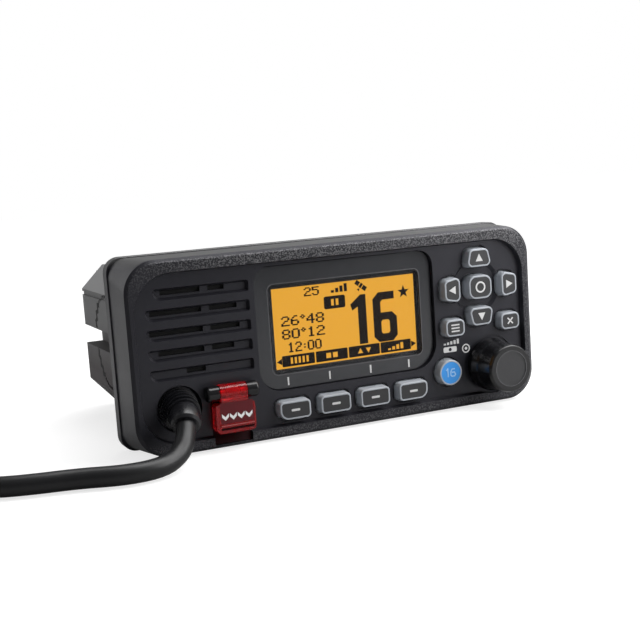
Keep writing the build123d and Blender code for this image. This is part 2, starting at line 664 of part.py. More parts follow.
def distress_cover():
    """A red flap that hangs from a hollow barrel and covers the key."""
    outside = HINGE_Y - BARREL_R + COVER_BACK
    half = COVER_WIDE / 2
    head = HINGE_Z - BARREL_R - COVER_SHOULDER
    flap = rounded_box(COVER_X - half, COVER_X + half, COVER_FOOT, head, COVER_CORNERS)
    neck_z = head - COVER_SHOULDER
    neck = Pos(COVER_X, (neck_z + HINGE_Z) / 2) * Rectangle(BARREL_LONG, HINGE_Z - neck_z)
    plate_back = outside + COVER_WALL
    cover = slab(flap + neck, outside, plate_back)
    cover += slab(flap - offset(flap, -COVER_WALL), plate_back, plate_back + COVER_SKIRT)
    z, tall, proud = COVER_RIDGE
    ridge = even_box((COVER_X, z), (COVER_WIDE - 2 * COVER_WALL, tall), tall / 3)
    cover += slab(ridge, outside - proud, outside + COVER_WALL / 2)
    cover += along_x(BARREL_R, BARREL_LONG, COVER_X)
    cover -= along_x(PIN_R + PIN_FIT, BARREL_LONG, COVER_X)
    cover -= along_x(BARREL_HOLLOW[0], BARREL_HOLLOW[1], COVER_X)
    wide, deep = BARREL_WINDOW
    return cover - Pos(COVER_X, HINGE_Y, HINGE_Z + BARREL_R) * Box(wide, deep, BARREL_R)


def distress_spring():
    """A torsion spring wound on the pin inside the barrel."""
    radius = PIN_R + WIRE_R + SPRING_FIT
    high = SPRING_TURNS * WIRE_R * SPRING_PITCH
    path = Helix(high / SPRING_TURNS, high, radius)
    wire = sweep(Plane(path @ 0, z_dir=path % 0) * Circle(WIRE_R), path=path)
    return Pos(COVER_X - high / 2, HINGE_Y, HINGE_Z) * Rot(0, 90, 0) * wire


# ================================================================ display
def display_plate():
    plate = slab(display_box(-DISPLAY_GAP), DISPLAY_FACE, GLASS_FACE)
    plate = fillet(plate.faces().sort_by(Axis.Y)[0].edges(), DISPLAY_SOFT)
    return plate - slab(even_box(LENS_AT, LENS, LENS_R), DISPLAY_FACE, GLASS_FACE)


def display_lens():
    size = (LENS[0] - 2 * DISPLAY_GAP, LENS[1] - 2 * DISPLAY_GAP)
    return slab(even_box(LENS_AT, size, LENS_R), DISPLAY_FACE + LENS_SUNK, GLASS_FACE)


def lcd_panel():
    return slab(glass_box(), GLASS_FACE, GLASS_FACE + GLASS_THICK)


def lcd_frame():
    """The backlight's housing between the glass and the board."""
    face = GLASS_FACE + FRAME_WALL
    step = slab(glass_box(), GLASS_FACE + GLASS_THICK, face)
    return step + slab(even_box(LENS_AT, BACKLIGHT, BACKLIGHT_R), face, BOARD_Y)


# ================================================================ boards
def key_centres():
    return [shape.center() for shape in KEYS.values()] + [Vector(COVER_X, BUTTON_Z)]


def keypad_mat():
    """A silicone sheet on the board with a springy pad under each key."""
    pads = []
    for at in key_centres():
        mid = (at.X, at.Y)
        cone = turned([(0, MAT_TOP), (PAD_R[0], MAT_TOP), (PAD_R[1], BOARD_Y - MAT),
                       (PAD_R[1], BOARD_Y), (0, BOARD_Y)], mid)
        pads.append(cone + slab(even_box(mid, (MAT_PAD, MAT_PAD), 1), BOARD_Y - MAT, BOARD_Y))
    x0, x1 = PAD_C[0] - SIDE_OUT[0], PAD_C[0] + SIDE_OUT[1]
    z0, z1 = ROUND_C[1], PAD_C[1] + ARROW_OUT
    sheet = Pos((x0 + x1) / 2, (z0 + z1) / 2) * Rectangle(x1 - x0, z1 - z0)
    right = slab(sheet, BOARD_Y - MAT, BOARD_Y)
    right -= slab(disc(KNOB_C, ENCODER[0] * MAT_HOLE), BOARD_Y - MAT, BOARD_Y)
    end = ROUND_C[0]
    strip = slab(Pos((COVER_X + end) / 2, SOFT_Z) * Rectangle(end - COVER_X, MAT_PAD),
                 BOARD_Y - MAT, BOARD_Y)
    return right + strip + pads


def front_board():
    top = FACE_HEIGHT - BOARD_TOP
    low = BOARD_INSET
    right = RIGHT - BOARD_INSET
    left = LEFT + BOARD_LEFT
    arm_x, arm_z = LEFT + BOARD_ARM[0], BOARD_ARM[1]
    shape = make_face(Polyline((left, top), (right, top), (right, low), (arm_x, low),
                               (arm_x, arm_z), (left, arm_z), close=True))
    board = slab(shape, BOARD_Y, BOARD_Y + BOARD)
    for at in SCREWS:
        board -= slab(disc(at, BOSS_R + BOARD_GAP), BOARD_Y, BOARD_Y + BOARD)
    for x, z, w, h in CHIPS:
        board += slab(Pos(x, z) * Rectangle(w, h), BOARD_Y + BOARD, BOARD_Y + BOARD + CHIP)
    return board


def main_board():
    """The radio board, with a screening can and the output module."""
    y0, z0 = MAIN_BOARD_AT
    w, d = MAIN_BOARD
    board = Pos(0, y0 + d / 2, z0 + BOARD / 2) * Box(w, d, BOARD)
    can = Pos(-w / 4, y0 + d / 2, z0 + BOARD + SHIELD[2] / 2) * Box(*SHIELD)
    module = Pos(w / 4, y0 + d - MODULE[1], z0 + BOARD + MODULE[2] / 2) * Box(*MODULE)
    coils = [
        Pos(w / 8 + i * SHIELD[2], y0 + SHIELD[2], z0 + BOARD + MODULE[2] / 2)
        * Cylinder(MODULE[2] / 2, MODULE[2])
        for i in range(4)
    ]
    return board + can + module + coils


# ================================================================ loudspeaker
SPEAKER_FACE = PANEL_BACK + CLOTH


def speaker_cloth():
    """The black cloth behind the slots."""
    return slab(disc(SPEAKER_C, SPEAKER_R), PANEL_BACK, SPEAKER_FACE)


def speaker_frame():
    face = SPEAKER_FACE
    back = face + SPEAKER_DEEP
    r_magnet, thick = MAGNET
    r_core = r_magnet - MAGNET_WALL
    edge, cone = BASKET
    return turned(
        [(SOUND_R, face), (SPEAKER_R, face), (SPEAKER_R, face + edge), (SOUND_R, face + cone),
         (r_magnet, back - thick), (r_magnet, back), (0, back), (0, back - CONE_BACK),
         (r_core, back - CONE_BACK), (r_core, back - thick), (SOUND_R - SURROUND, face + CONE_BACK),
         (SOUND_R, face + CONE_BACK)],
        SPEAKER_C)


def speaker_cone():
    face = SPEAKER_FACE
    r_magnet, thick = MAGNET
    gap, cap, rim, foot = CONE_DEEP
    deep = face + SPEAKER_DEEP - thick - gap
    r_flat, r_cap, r_foot = DUST_CAP
    r_cone, r_surround = SOUND_R - CONE_IN[0], SOUND_R - CONE_IN[1]
    edge = SOUND_R - CONE_GAP
    front, back = face + SURROUND_FACE, face + CONE_BACK
    return turned(
        [(0, deep - cap), (r_flat, deep - cap), (r_cap, deep - rim), (r_cone, face + CONE_FRONT),
         (r_surround, front), (edge, front), (edge, back),
         (SOUND_R - SURROUND, back), (r_foot, deep - foot), (0, deep - foot)],
        SPEAKER_C)


# ================================================================ volume knob
def volume_knob():
    foot, top = KNOB_FOOT, KNOB_FOOT - KNOB_LONG
    r_hollow, hollow = KNOB_HOLLOW
    skirt = foot - KNOB_SKIRT
    step, rise = KNOB_STEP
    out, down = KNOB_SHOULDER
    knob = turned(
        [(SHAFT_R, foot - hollow), (r_hollow, foot - hollow), (r_hollow, foot), (KNOB_R, foot),
         (KNOB_R + KNOB_BULGE, foot - KNOB_SKIRT / 2), (KNOB_R - step, skirt), (KNOB_NECK, skirt - rise),
         (KNOB_TOP + out, top + down), (KNOB_TOP, top), (CAP_DISC[0], top),
         (CAP_DISC[0], top + CAP_RECESS + CAP_DISC[1]), (SHAFT_R, top + CAP_RECESS + CAP_DISC[1])],
        KNOB_C)
    round_edges = knob.edges().filter_by(GeomType.CIRCLE).sort_by(Axis.Y)
    return fillet([e for e in round_edges if abs(e.radius - KNOB_TOP) < SAME], KNOB_SOFT)


def knob_cap():
    top = KNOB_FOOT - KNOB_LONG + CAP_RECESS
    cap = slab(disc(KNOB_C, CAP_DISC[0] - CAP_FIT), top, top + CAP_DISC[1])
    return fillet(cap.faces().sort_by(Axis.Y)[0].edges(), CAP_SOFT)


SHAFT_TIP = KNOB_FOOT - KNOB_LONG + CAP_RECESS + CAP_DISC[1]
ENCODER_FACE = PANEL_BACK
SHAFT_END = ENCODER_FACE + SHAFT_STUB


def encoder_shaft():
    return slab(disc(KNOB_C, SHAFT_R), SHAFT_TIP, SHAFT_END)


def encoder_plunger():
    """The disc that the pushed shaft presses on the switch."""
    return slab(disc(KNOB_C, PLUNGER[0]), SHAFT_END, SHAFT_END + PLUNGER[1])


def encoder_body():
    box = slab(even_box(KNOB_C, ENCODER, ENCODER_CORNER), ENCODER_FACE, BOARD_Y)
    tip = PANEL_DEPTH - COLLAR[1] - NUT[1] - BUSH_PROUD
    bush = slab(disc(KNOB_C, BUSH_R), tip, ENCODER_FACE)
    body = box + bush
    body -= slab(disc(KNOB_C, SHAFT_R + SHAFT_FIT), KNOB_FOOT - KNOB_LONG, ENCODER_FACE + ENCODER_WALL)
    chamber = SHAFT_END + PLUNGER[1] + PUSH_TRAVEL + ENCODER_GAP
    body -= slab(disc(KNOB_C, PLUNGER[0] + ENCODER_GAP), ENCODER_FACE + ENCODER_WALL, chamber)
    return body


def encoder_nut():
    face = PANEL_DEPTH - COLLAR[1]
    nut = slab(Pos(*KNOB_C) * RegularPolygon(NUT[0] / 2, 6, major_radius=False), face - NUT[1], face)
    return nut - slab(disc(KNOB_C, BUSH_R), face - NUT[1], face)


# ================================================================ microphone outlet
BOOT_FACE = PANEL_DEPTH + BOOT_WELL[1]


def boot_turn(share):
    return radians(BOOT_BEND) * share, radians(BOOT_SWING) * share**2


def boot_frame(share):
    """The plane across the boot at a share of its length."""
    steps = 12
    step = BOOT_LONG * share / steps
    x, y, z = BOOT_C[0], BOOT_FACE, BOOT_C[1]
    for i in range(steps):
        bend, swing = boot_turn(share * (i + 0.5) / steps)
        x -= step * cos(bend) * sin(swing)
        y -= step * cos(bend) * cos(swing)
        z -= step * sin(bend)
    bend, swing = boot_turn(share)
    ahead = (-cos(bend) * sin(swing), -cos(bend) * cos(swing), -sin(bend))
    return Plane(origin=(x, y, z), x_dir=(1, -tan(swing), 0), z_dir=ahead)


def boot_piece(stations):
    """A bent round piece through (share, radius) stations."""
    return loft([boot_frame(share) * Circle(radius) for share, radius in stations])


def mic_boot():
    """A strain relief that bends down: ribs on a core, then a smooth sleeve round the cord."""
    start, wide, narrow, mouth = BOOT_SLEEVE
    ribs = [start * i / BOOT_RINGS for i in range(BOOT_RINGS)]
    core_end = (start + 1) / 2
    slim = BOOT_CORE[1] - BOOT_CORE[0]
    boot = boot_piece([(s, BOOT_CORE[0] + slim * s / core_end) for s in ribs + [core_end]])
    for share in ribs:
        radius = BOOT_R[0] + (BOOT_R[1] - BOOT_R[0]) * share / start
        boot += extrude(boot_frame(share) * Circle(radius), BOOT_RING)
    soft = 1 - (narrow - mouth) / BOOT_LONG
    boot += boot_piece([(start, wide), (core_end, (wide + narrow) / 2), (soft, narrow)])
    boot += boot_piece([(soft, narrow), (1, mouth)])
    neck_end = BOOT_FACE + BOOT_FLOOR + BOOT_NUT[1] + 1
    return boot + slab(disc(BOOT_C, BOOT_NECK), BOOT_FACE, neck_end)


def boot_nut():
    face = BOOT_FACE + BOOT_FLOOR
    nut = Pos(*BOOT_C) * RegularPolygon(BOOT_NUT[0] / 2, 6, major_radius=False)
    return slab(nut, face, face + BOOT_NUT[1]) - slab(disc(BOOT_C, BOOT_NECK), face, BOARD_Y)


# ================================================================ cord
def smooth_path(points):
    """Straight runs joined by arcs, each as large as its two runs allow; radii are printed."""
    steps = [Vector(*b) - Vector(*a) for a, b in zip(points, points[1:])]
    radii = []
    for a, b in zip(steps, steps[1:]):
        turn = radians(a.get_angle(b))
        radii.append(ROUTE_SHARE * min(a.length, b.length) / tan(turn / 2))
    print("radii", [round(r, 1) for r in radii])
    return FilletPolyline(*points, radius=radii)


def tube(points, radius):
    path = smooth_path(points)
    wire = sweep(Plane(path @ 0, z_dir=path % 0) * Circle(radius), path=path)
    print("tube", round(path.length, 1), round(wire.volume / (pi * radius**2 * path.length), 4))
    return wire


def lead_points():
    """From the boot's end down to the floor, to the left and back to the curly stretch."""
    end = boot_frame(1)
    start, ahead = end.origin, end.z_dir
    curl = [(CURL_X, CURL_START - LEAD_STRAIGHT, FLOOR_Z), (CURL_X, CURL_START, FLOOR_Z)]
    return [tuple(start), tuple(start + ahead * WIRE), *LEAD_ROUTE, *curl]


def cord_lead():
    return tube(lead_points(), WIRE / 2)


def cord_curl():
    """The closed outer shape of the curly stretch, folded back on itself."""
    z = CURL / 2
    far = CURL_FAR
    x1 = CURL_X
    x2 = CURL_X - 2 * CURL_TURN
    out = Line((x1, CURL_START, z), (x1, far, z))
    turn = ThreePointArc((x1, far, z), (x1 - CURL_TURN, far + CURL_TURN, z), (x2, far, z))
    back = Line((x2, far, z), (x2, CURL_END, z))
    path = Wire([out, turn, back])
    return sweep(Plane(path @ 0, z_dir=path % 0) * Circle(CURL / 2), path=path)


def tail_points():
    """From the curly stretch round to the hand microphone's cord end."""
    x = CURL_X - 2 * CURL_TURN
    mic = mic_place() * Location((0, -MIC_BOOT_LONG, MIC_BACK))
    end = mic.position
    ahead = (mic_place() * Location((0, -MIC_BOOT_LONG - 1, MIC_BACK))).position - end
    mic_x, mic_y = MIC_AT
    run = [(x - left, CURL_END - down, FLOOR_Z + up) for left, down, up in TAIL_RUN]
    turn = [(mic_x + right, mic_y - down, FLOOR_Z + up) for right, down, up in MIC_TURN]
    return [(x, CURL_END, FLOOR_Z), *run, *turn, tuple(end + ahead * TAIL_STRAIGHT), tuple(end)]


def cord_tail():
    return tube(tail_points(), WIRE / 2)


# ================================================================ hand microphone
def mic_place():
    """The microphone lies on its back, on its hanger stud and the heel of its rear shell."""
    slope = radians(MIC_BACK_SLOPE)
    heel = MIC_BACK * tan(slope) + MIC_SOFT * tan(pi / 4 - slope / 2)
    tilt = atan2(STUD_LONG, STUD_Y - STUD_R + STUD_SOFT - heel)
    return Location((MIC_AT[0], MIC_AT[1], -heel * sin(tilt)), (degrees(tilt), 0, 0))


def mic_outline(grow=0.0):
    w, h, f = MIC[0] / 2 + grow, MIC[1] + grow, MIC_FOOT / 2 + grow
    waist = h * MIC_WAIST
    points = [(-f, -grow), (f, -grow), (w, waist), (w, h), (-w, h), (-w, waist)]
    head, side = [MIC_CORNER * share for share in MIC_HEAD]
    return rounded(points, [MIC_CORNER, MIC_CORNER, side, head, head, side])


def mic_key_outline(side, grow=0.0):
    return even_box((side * MIC_KEY_OUT, MIC_KEYS_Y),
                    (MIC_KEY[0] + 2 * grow, MIC_KEY[1] + 2 * grow), MIC_KEY[1] / 3)


def ptt_box(grow=0.0):
    x = -MIC[0] / 2 - PTT_PROUD + PTT_DEEP / 2
    box = Box(PTT_DEEP, PTT[0] + 2 * grow, PTT[1] + 2 * grow)
    box = fillet(box.edges().filter_by(Axis.X), PTT[1] / 3)
    return Pos(x, PTT_Y, MIC_BACK) * box


def mic_shell(front_side):
    """One half of the hand microphone, hollow, with its outside sloped and rounded."""
    deep = MIC_FRONT if front_side else MIC_BACK
    slope = MIC_FRONT_SLOPE if front_side else MIC_BACK_SLOPE
    toward = 1 if front_side else -1
    half = Plane((0, 0, MIC_BACK), z_dir=(0, 0, 1))
    block = extrude(half * mic_outline(), toward * deep, taper=slope)
    face = block.faces().sort_by(Axis.Z)[-1 if front_side else 0]
    block = fillet(face.edges(), MIC_SOFT)
    hollow = extrude(half * mic_outline(-MIC_WALL), toward * (deep - MIC_WALL), taper=slope)
    shell = block - hollow
    neck = Pos(0, MIC_WALL / 2, MIC_BACK) * Rot(90, 0, 0) * Cylinder(MIC_BOOT_R[1], MIC_WALL * 3)
    return shell - neck - ptt_box(MIC_KEY_GAP)


def mic_front_shell():
    shell = mic_shell(True)
    top = MIC_BACK + MIC_FRONT
    for i in range(GRILLES):
        y = GRILLE_Y + (i - (GRILLES - 1) / 2) * GRILLE_PITCH
        wide = GRILLE[0] - abs(i - (GRILLES - 1) / 2) * GRILLE_STEP
        shell -= Pos(0, y, top) * Box(wide, GRILLE[1], MIC_WALL * 3)
    for side in (-1, 1):
        shell -= extrude(mic_key_outline(side, MIC_KEY_GAP), top + 1)
    return shell


def mic_rear_shell():
    shell = mic_shell(False)
    shell -= Pos(0, STUD_Y, 0) * Cylinder(STUD_NECK[0], MIC_WALL * 3)
    for at in mic_screws_at():
        post = Pos(*at, MIC_BACK / 2) * Cylinder(MIC_SCREW[0] + MIC_POST, MIC_BACK)
        shell += post & extrude(mic_outline(-MIC_WALL / 2), MIC_BACK)
        shell -= Pos(*at, 0) * Cylinder(MIC_SCREW[0], MIC_SCREW[1] * 4)
    return shell


def mic_screws_at():
    w, h = MIC[0] / 2 - MIC_SCREW_IN[0], MIC[1]
    f = MIC_FOOT / 2 - MIC_SCREW_IN[0]
    return [(-f, MIC_SCREW_IN[1]), (f, MIC_SCREW_IN[1]), (-w, h - MIC_SCREW_IN[1]),
            (w, h - MIC_SCREW_IN[1])]


def mic_screws():
    screws = []
    depth = MIC_SCREW[1] * 2
    long, wide = MIC_SCREW_CROSS
    for x, y in mic_screws_at():
        head = Pos(x, y, depth - MIC_SCREW[1] / 2) * Cylinder(MIC_SCREW[0] - MIC_SCREW_FIT, MIC_SCREW[1])
        cross = Pos(x, y, MIC_SCREW[1]) * (Box(long, wide, 1) + Box(wide, long, 1))
        screws.append(head - cross)
    return screws


def mic_stud():
    """The hanger stud on the back."""
    r_neck, neck = STUD_NECK
    head = Pos(0, 0, -STUD_LONG + (STUD_LONG - neck) / 2) * Cylinder(STUD_R, STUD_LONG - neck)
    head = fillet(head.edges().filter_by(GeomType.CIRCLE), STUD_SOFT)
    stem = Pos(0, 0, (MIC_WALL - neck) / 2) * Cylinder(r_neck, MIC_WALL + neck)
    return Pos(0, STUD_Y, 0) * (head + stem)


def mic_cord_boot():
    """A tapered, ringed strain relief at the cord end."""
    r0, r1 = MIC_BOOT_R
    neck = r1 - MIC_BOOT_FIT
    cut, start, end = MIC_BOOT_CUT
    profile = [(0, MIC_WALL), (neck, MIC_WALL), (neck, 0), (r0, 0)]
    step = (MIC_BOOT_LONG - MIC_BOOT_PLAIN) / MIC_BOOT_RINGS
    for i in range(MIC_BOOT_RINGS):
        y = -MIC_BOOT_PLAIN - i * step
        r = r0 + (r1 - r0) * (i + 0.5) / MIC_BOOT_RINGS
        profile += [(r, y), (r - cut, y - step * start), (r - cut, y - step * end)]
    profile += [(r1, -MIC_BOOT_LONG), (0, -MIC_BOOT_LONG)]
    face = make_face(Polyline(*[(r, y, MIC_BACK) for r, y in profile], close=True))
    return revolve(face, Axis((0, 0, MIC_BACK), (0, 1, 0)))


def mic_key(side):
    top = MIC_BACK + MIC_FRONT
    cap = extrude(Pos(0, 0, top - MIC_WALL) * mic_key_outline(side), MIC_WALL + MIC_KEY_PROUD)
    cap = fillet(cap.faces().sort_by(Axis.Z)[-1].edges(), MIC_KEY_SOFT)
    wide, thick = MIC_KEY_FLANGE
    outline = mic_key_outline(side, MIC_KEY_GAP + wide)
    return cap + extrude(Pos(0, 0, top - MIC_WALL - thick) * outline, thick)


def mic_ptt():
    box = ptt_box()
    outer = box.faces().sort_by(Axis.X)[0]
    return fillet(outer.edges(), PTT_SOFT)


def mic_capsule():
    r, thick = CAPSULE
    return Pos(0, GRILLE_Y, MIC_BACK + MIC_FRONT - MIC_WALL - thick / 2) * Cylinder(r, thick)


# ================================================================ chassis
def chassis_outline(grow=0.0):
    w = CHASSIS_WIDTH / 2 + grow
    z0, z1 = CHASSIS_FLOOR - grow, CHASSIS_TOP + grow
    tx, tz = TOP_CHAMFER
    lx, lz = LOW_CHAMFER
    points = [(-w, z0 + lz), (-w, z1 - tz), (-w + tx, z1), (w - tx, z1), (w, z1 - tz),
              (w, z0 + lz), (w - lx, z0), (-w + lx, z0)]
    return make_face(Polyline(*points, close=True))


def side_channel():
    """Left side: the solid rail inside the wall, and the slot and thread cut into it."""
    x = -CHASSIS_WIDTH / 2
    deep = SLOT_DEEP + BOLT_HOLE
    front_y = BOLT_Y - SLOT_HIGH
    rail = Pos(x + deep / 2, (front_y + BACK_Y) / 2, BOLT_Z) * Box(
        deep, BACK_Y - front_y, SLOT_HIGH + 2 * CASE_WALL)
    slot = Pos(x + SLOT_DEEP / 2, (BOLT_Y + BACK_Y) / 2, BOLT_Z) * Box(
        SLOT_DEEP, BACK_Y - BOLT_Y, SLOT_HIGH)
    end = Pos(x + SLOT_DEEP / 2, BOLT_Y, BOLT_Z) * Rot(0, 90, 0) * Cylinder(SLOT_HIGH / 2, SLOT_DEEP)
    hole = Pos(x + deep / 2, BOLT_Y, BOLT_Z) * Rot(0, 90, 0) * Cylinder(BOLT_R, deep)
    return rail, slot + end + hole


def side_teeth():
    """The zigzag groove round the bolt that a bracket's toothed washer grips."""
    rings = []
    for shift in (-TEETH_WIDE / 2, TEETH_WIDE / 2):
        points = []
        for i in range(2 * TEETH):
            radius = TEETH_R[i % 2] + shift
            angle = pi * i / TEETH
            points.append((radius * cos(angle), radius * sin(angle)))
        rings.append(make_face(Polyline(*points, close=True)))
    side = Plane(origin=(-CHASSIS_WIDTH / 2, BOLT_Y, BOLT_Z), x_dir=(0, 1, 0), z_dir=(1, 0, 0))
    return extrude(side * (rings[1] - rings[0]), TOOTH_DEEP)


def side_line():
    """The groove along the side under the top chamfer."""
    drop, tall, deep = SIDE_GROOVE
    top = CHASSIS_TOP - TOP_CHAMFER[1] - drop
    return Pos(-CHASSIS_WIDTH / 2 + deep / 2, (BEZEL_DEPTH + BACK_Y) / 2, top - tall / 2) * Box(
        deep, BACK_Y - BEZEL_DEPTH, tall)


def back_fins():
    """Upright cooling fins each side of the plain plate that carries the sockets."""
    w = CHASSIS_WIDTH - 2 * FIN_INSET[0]
    h = CHASSIS_TOP - CHASSIS_FLOOR - 2 * FIN_INSET[1]
    mid = (CHASSIS_TOP + CHASSIS_FLOOR) / 2
    base = Pos(0, BACK_Y + FIN_ROOT / 2, mid) * Box(w, FIN_ROOT, h)
    fins = []
    count = int((w / 2 - PLATE_HALF) / FIN_PITCH)
    for side in (-1, 1):
        for i in range(count):
            x = side * (w / 2 - FIN_THICK / 2 - i * FIN_PITCH)
            long = RADIO_DEPTH - BACK_Y - FIN_ROOT
            fin = Pos(x, BACK_Y + FIN_ROOT + long / 2, mid) * Box(FIN_THICK, long, h)
            fins.append(fin)
    return base + fins


def floor_ribs():
    long = BACK_Y - RIB_START
    ribs = []
    for i in range(RIB_COUNT):
        x = (i - (RIB_COUNT - 1) / 2) * RIB_PITCH
        rib = Pos(x, RIB_START + long / 2, CHASSIS_FLOOR / 2) * Box(RIB_THICK, long, CHASSIS_FLOOR)
        ribs.append(rib)
    return ribs


def chassis():
    seat_w = FACE_WIDTH - 2 * (BEZEL_WALL + LIP_PROUD + FLANGE_GAP)
    seat_h = FACE_HEIGHT - 2 * (BEZEL_WALL + LIP_PROUD + FLANGE_GAP)
    radius = CORNER_R - BEZEL_WALL - FLANGE_GAP
    flange_y = LEDGE_Y + GASKET
    flange = slab(even_box((0, MID), (seat_w, seat_h), radius), flange_y, BEZEL_DEPTH)
    case = slab(chassis_outline(), flange_y, BACK_Y) + flange
    case -= slab(chassis_outline(-CASE_WALL), flange_y, BACK_Y - CASE_WALL)
    rail, cut = side_channel()
    case += [rail, mirrored(rail)]
    marks = [cut, side_teeth(), side_line()]
    case -= marks
    case -= [mirrored(mark) for mark in marks]
    case += back_fins()
    case += floor_ribs()
    posts = []
    y0, z0 = MAIN_BOARD_AT
    base = CHASSIS_FLOOR + CASE_WALL
    for x in (-1, 1):
        for y in (y0 + POST_R * 2, y0 + MAIN_BOARD[1] - POST_R * 2):
            at = (x * (MAIN_BOARD[0] / 2 - POST_R * 2), y, (base + z0) / 2)
            posts.append(Pos(*at) * Cylinder(POST_R, z0 - base))
    case += posts
    case -= [slab(disc(at, SCREW_R + SCREW_FIT), flange_y, BEZEL_DEPTH) for at in SCREWS]
    through = BACK_Y - CASE_WALL
    case -= slab(disc(SO_AT, SO_BORE), through, BACK_Y + FIN_ROOT)
    return case


def panel_screws():
    length = BEZEL_DEPTH - LEDGE_Y + SCREW_BITE - 1
    return [screw(at, BEZEL_DEPTH, length, SCREW_R, SCREW_HEAD, SCREW_SOCKET) for at in SCREWS]


def panel_gasket():
    seat_w = FACE_WIDTH - 2 * (BEZEL_WALL + LIP_PROUD + FLANGE_GAP)
    seat_h = FACE_HEIGHT - 2 * (BEZEL_WALL + LIP_PROUD + FLANGE_GAP)
    radius = CORNER_R - BEZEL_WALL - FLANGE_GAP
    wide = LEDGE - 2 * FLANGE_GAP
    ring = slab(even_box((0, MID), (seat_w, seat_h), radius), LEDGE_Y, LEDGE_Y + GASKET)
    inner = even_box((0, MID), (seat_w - 2 * wide, seat_h - 2 * wide), radius - wide)
    ring -= slab(inner, LEDGE_Y, LEDGE_Y + GASKET)
    return ring - [slab(disc(at, SCREW_R + SCREW_FIT), LEDGE_Y, LEDGE_Y + GASKET) for at in SCREWS]


# ================================================================ sockets at the back
PLATE_Y = BACK_Y + FIN_ROOT


def antenna_socket():
    """A coaxial socket with a square flange and a screwed barrel."""
    wide, thick = SO_FLANGE
    flange = slab(even_box(SO_AT, (wide, wide), SO_CORNER), PLATE_Y, PLATE_Y + thick)
    barrel = slab(disc(SO_AT, SO_R), PLATE_Y + thick, PLATE_Y + thick + SO_LONG)
    barrel = chamfer(barrel.faces().sort_by(Axis.Y)[-1].edges(), SO_CHAMFER)
    neck = slab(disc(SO_AT, SO_BORE - SO_FIT), BACK_Y - CASE_WALL, PLATE_Y)
    socket = flange + barrel + neck
    return socket - slab(disc(SO_AT, SO_CORE[0]), PLATE_Y + thick, PLATE_Y + thick + SO_LONG)


def antenna_insulator():
    thick = SO_FLANGE[1]
    start = PLATE_Y + thick
    core = slab(disc(SO_AT, SO_CORE[0]), start, start + SO_CORE[1])
    return core - slab(disc(SO_AT, SO_PIN[0]), start, start + SO_CORE[1])


def antenna_contact():
    start = PLATE_Y + SO_FLANGE[1]
    pin = slab(disc(SO_AT, SO_PIN[0]), start, start + SO_CORE[1])
    return pin - slab(disc(SO_AT, SO_PIN[1]), start + SO_FLANGE[1], start + SO_CORE[1])


def power_socket():
    """A keyed two-blade inlet."""
    w, h, deep = POWER
    wider, flange = POWER_FLANGE
    r_flange, r_shell, r_inner = POWER_CORNER
    floor = PLATE_Y + POWER_FLOOR
    shell = slab(even_box(POWER_AT, (w, h), r_shell), PLATE_Y, PLATE_Y + deep)
    shell += slab(even_box(POWER_AT, (w + wider, h + wider), r_flange), PLATE_Y, PLATE_Y + flange)
    inner = even_box(POWER_AT, (w - 2 * POWER_WALL, h - 2 * POWER_WALL), r_inner)
    shell -= slab(inner, floor, PLATE_Y + deep)
    thick, tall = POWER_BLADE
    for side in (-1, 1):
        blade = Pos(POWER_AT[0] + side * w * POWER_BLADES / 2, POWER_AT[1]) * Rectangle(thick, tall)
        shell += slab(blade, floor, PLATE_Y + deep - flange)
    return shell


def aux_socket():
    """A round accessory socket with its screwed cap on."""
    seat = PLATE_Y + AUX_SEAT
    body = slab(disc(AUX_AT, AUX_R), PLATE_Y, seat)
    cap = slab(disc(AUX_AT, AUX_R + AUX_CAP), seat, PLATE_Y + AUX_LONG)
    cap = chamfer(cap.faces().sort_by(Axis.Y)[-1].edges(), AUX_CHAMFER)
    radius, past = AUX_FLUTE
    notch = []
    for i in range(AUX_FLUTES):
        angle = 2 * pi * i / AUX_FLUTES
        at = (AUX_AT[0] + (AUX_R + past) * cos(angle), AUX_AT[1] + (AUX_R + past) * sin(angle))
        notch.append(slab(disc(at, radius), seat, PLATE_Y + AUX_LONG))
    return body + cap - notch


def ground_screw():
    head, tall = GROUND
    wide, deep = GROUND_CROSS
    cross = Pos(*GROUND_AT) * (Rectangle(head, wide) + Rectangle(wide, head))
    bolt = slab(disc(GROUND_AT, head), PLATE_Y, PLATE_Y + tall)
    return bolt - slab(cross, PLATE_Y + tall - deep, PLATE_Y + tall)


# ================================================================ output
def put(name, shape, place=None):
    """Writes one node; a list is a group of separate solids."""
    solids = shape if isinstance(shape, (list, tuple)) else [shape]
    if place is not None:
        solids = [place * s for s in solids]
    moved = [Pos(0, -FOOT_Y, 0) * s for s in solids]
    whole = moved[0] if len(moved) == 1 else Compound(children=moved)
    export_step(whole, f"parts/{name}.step")


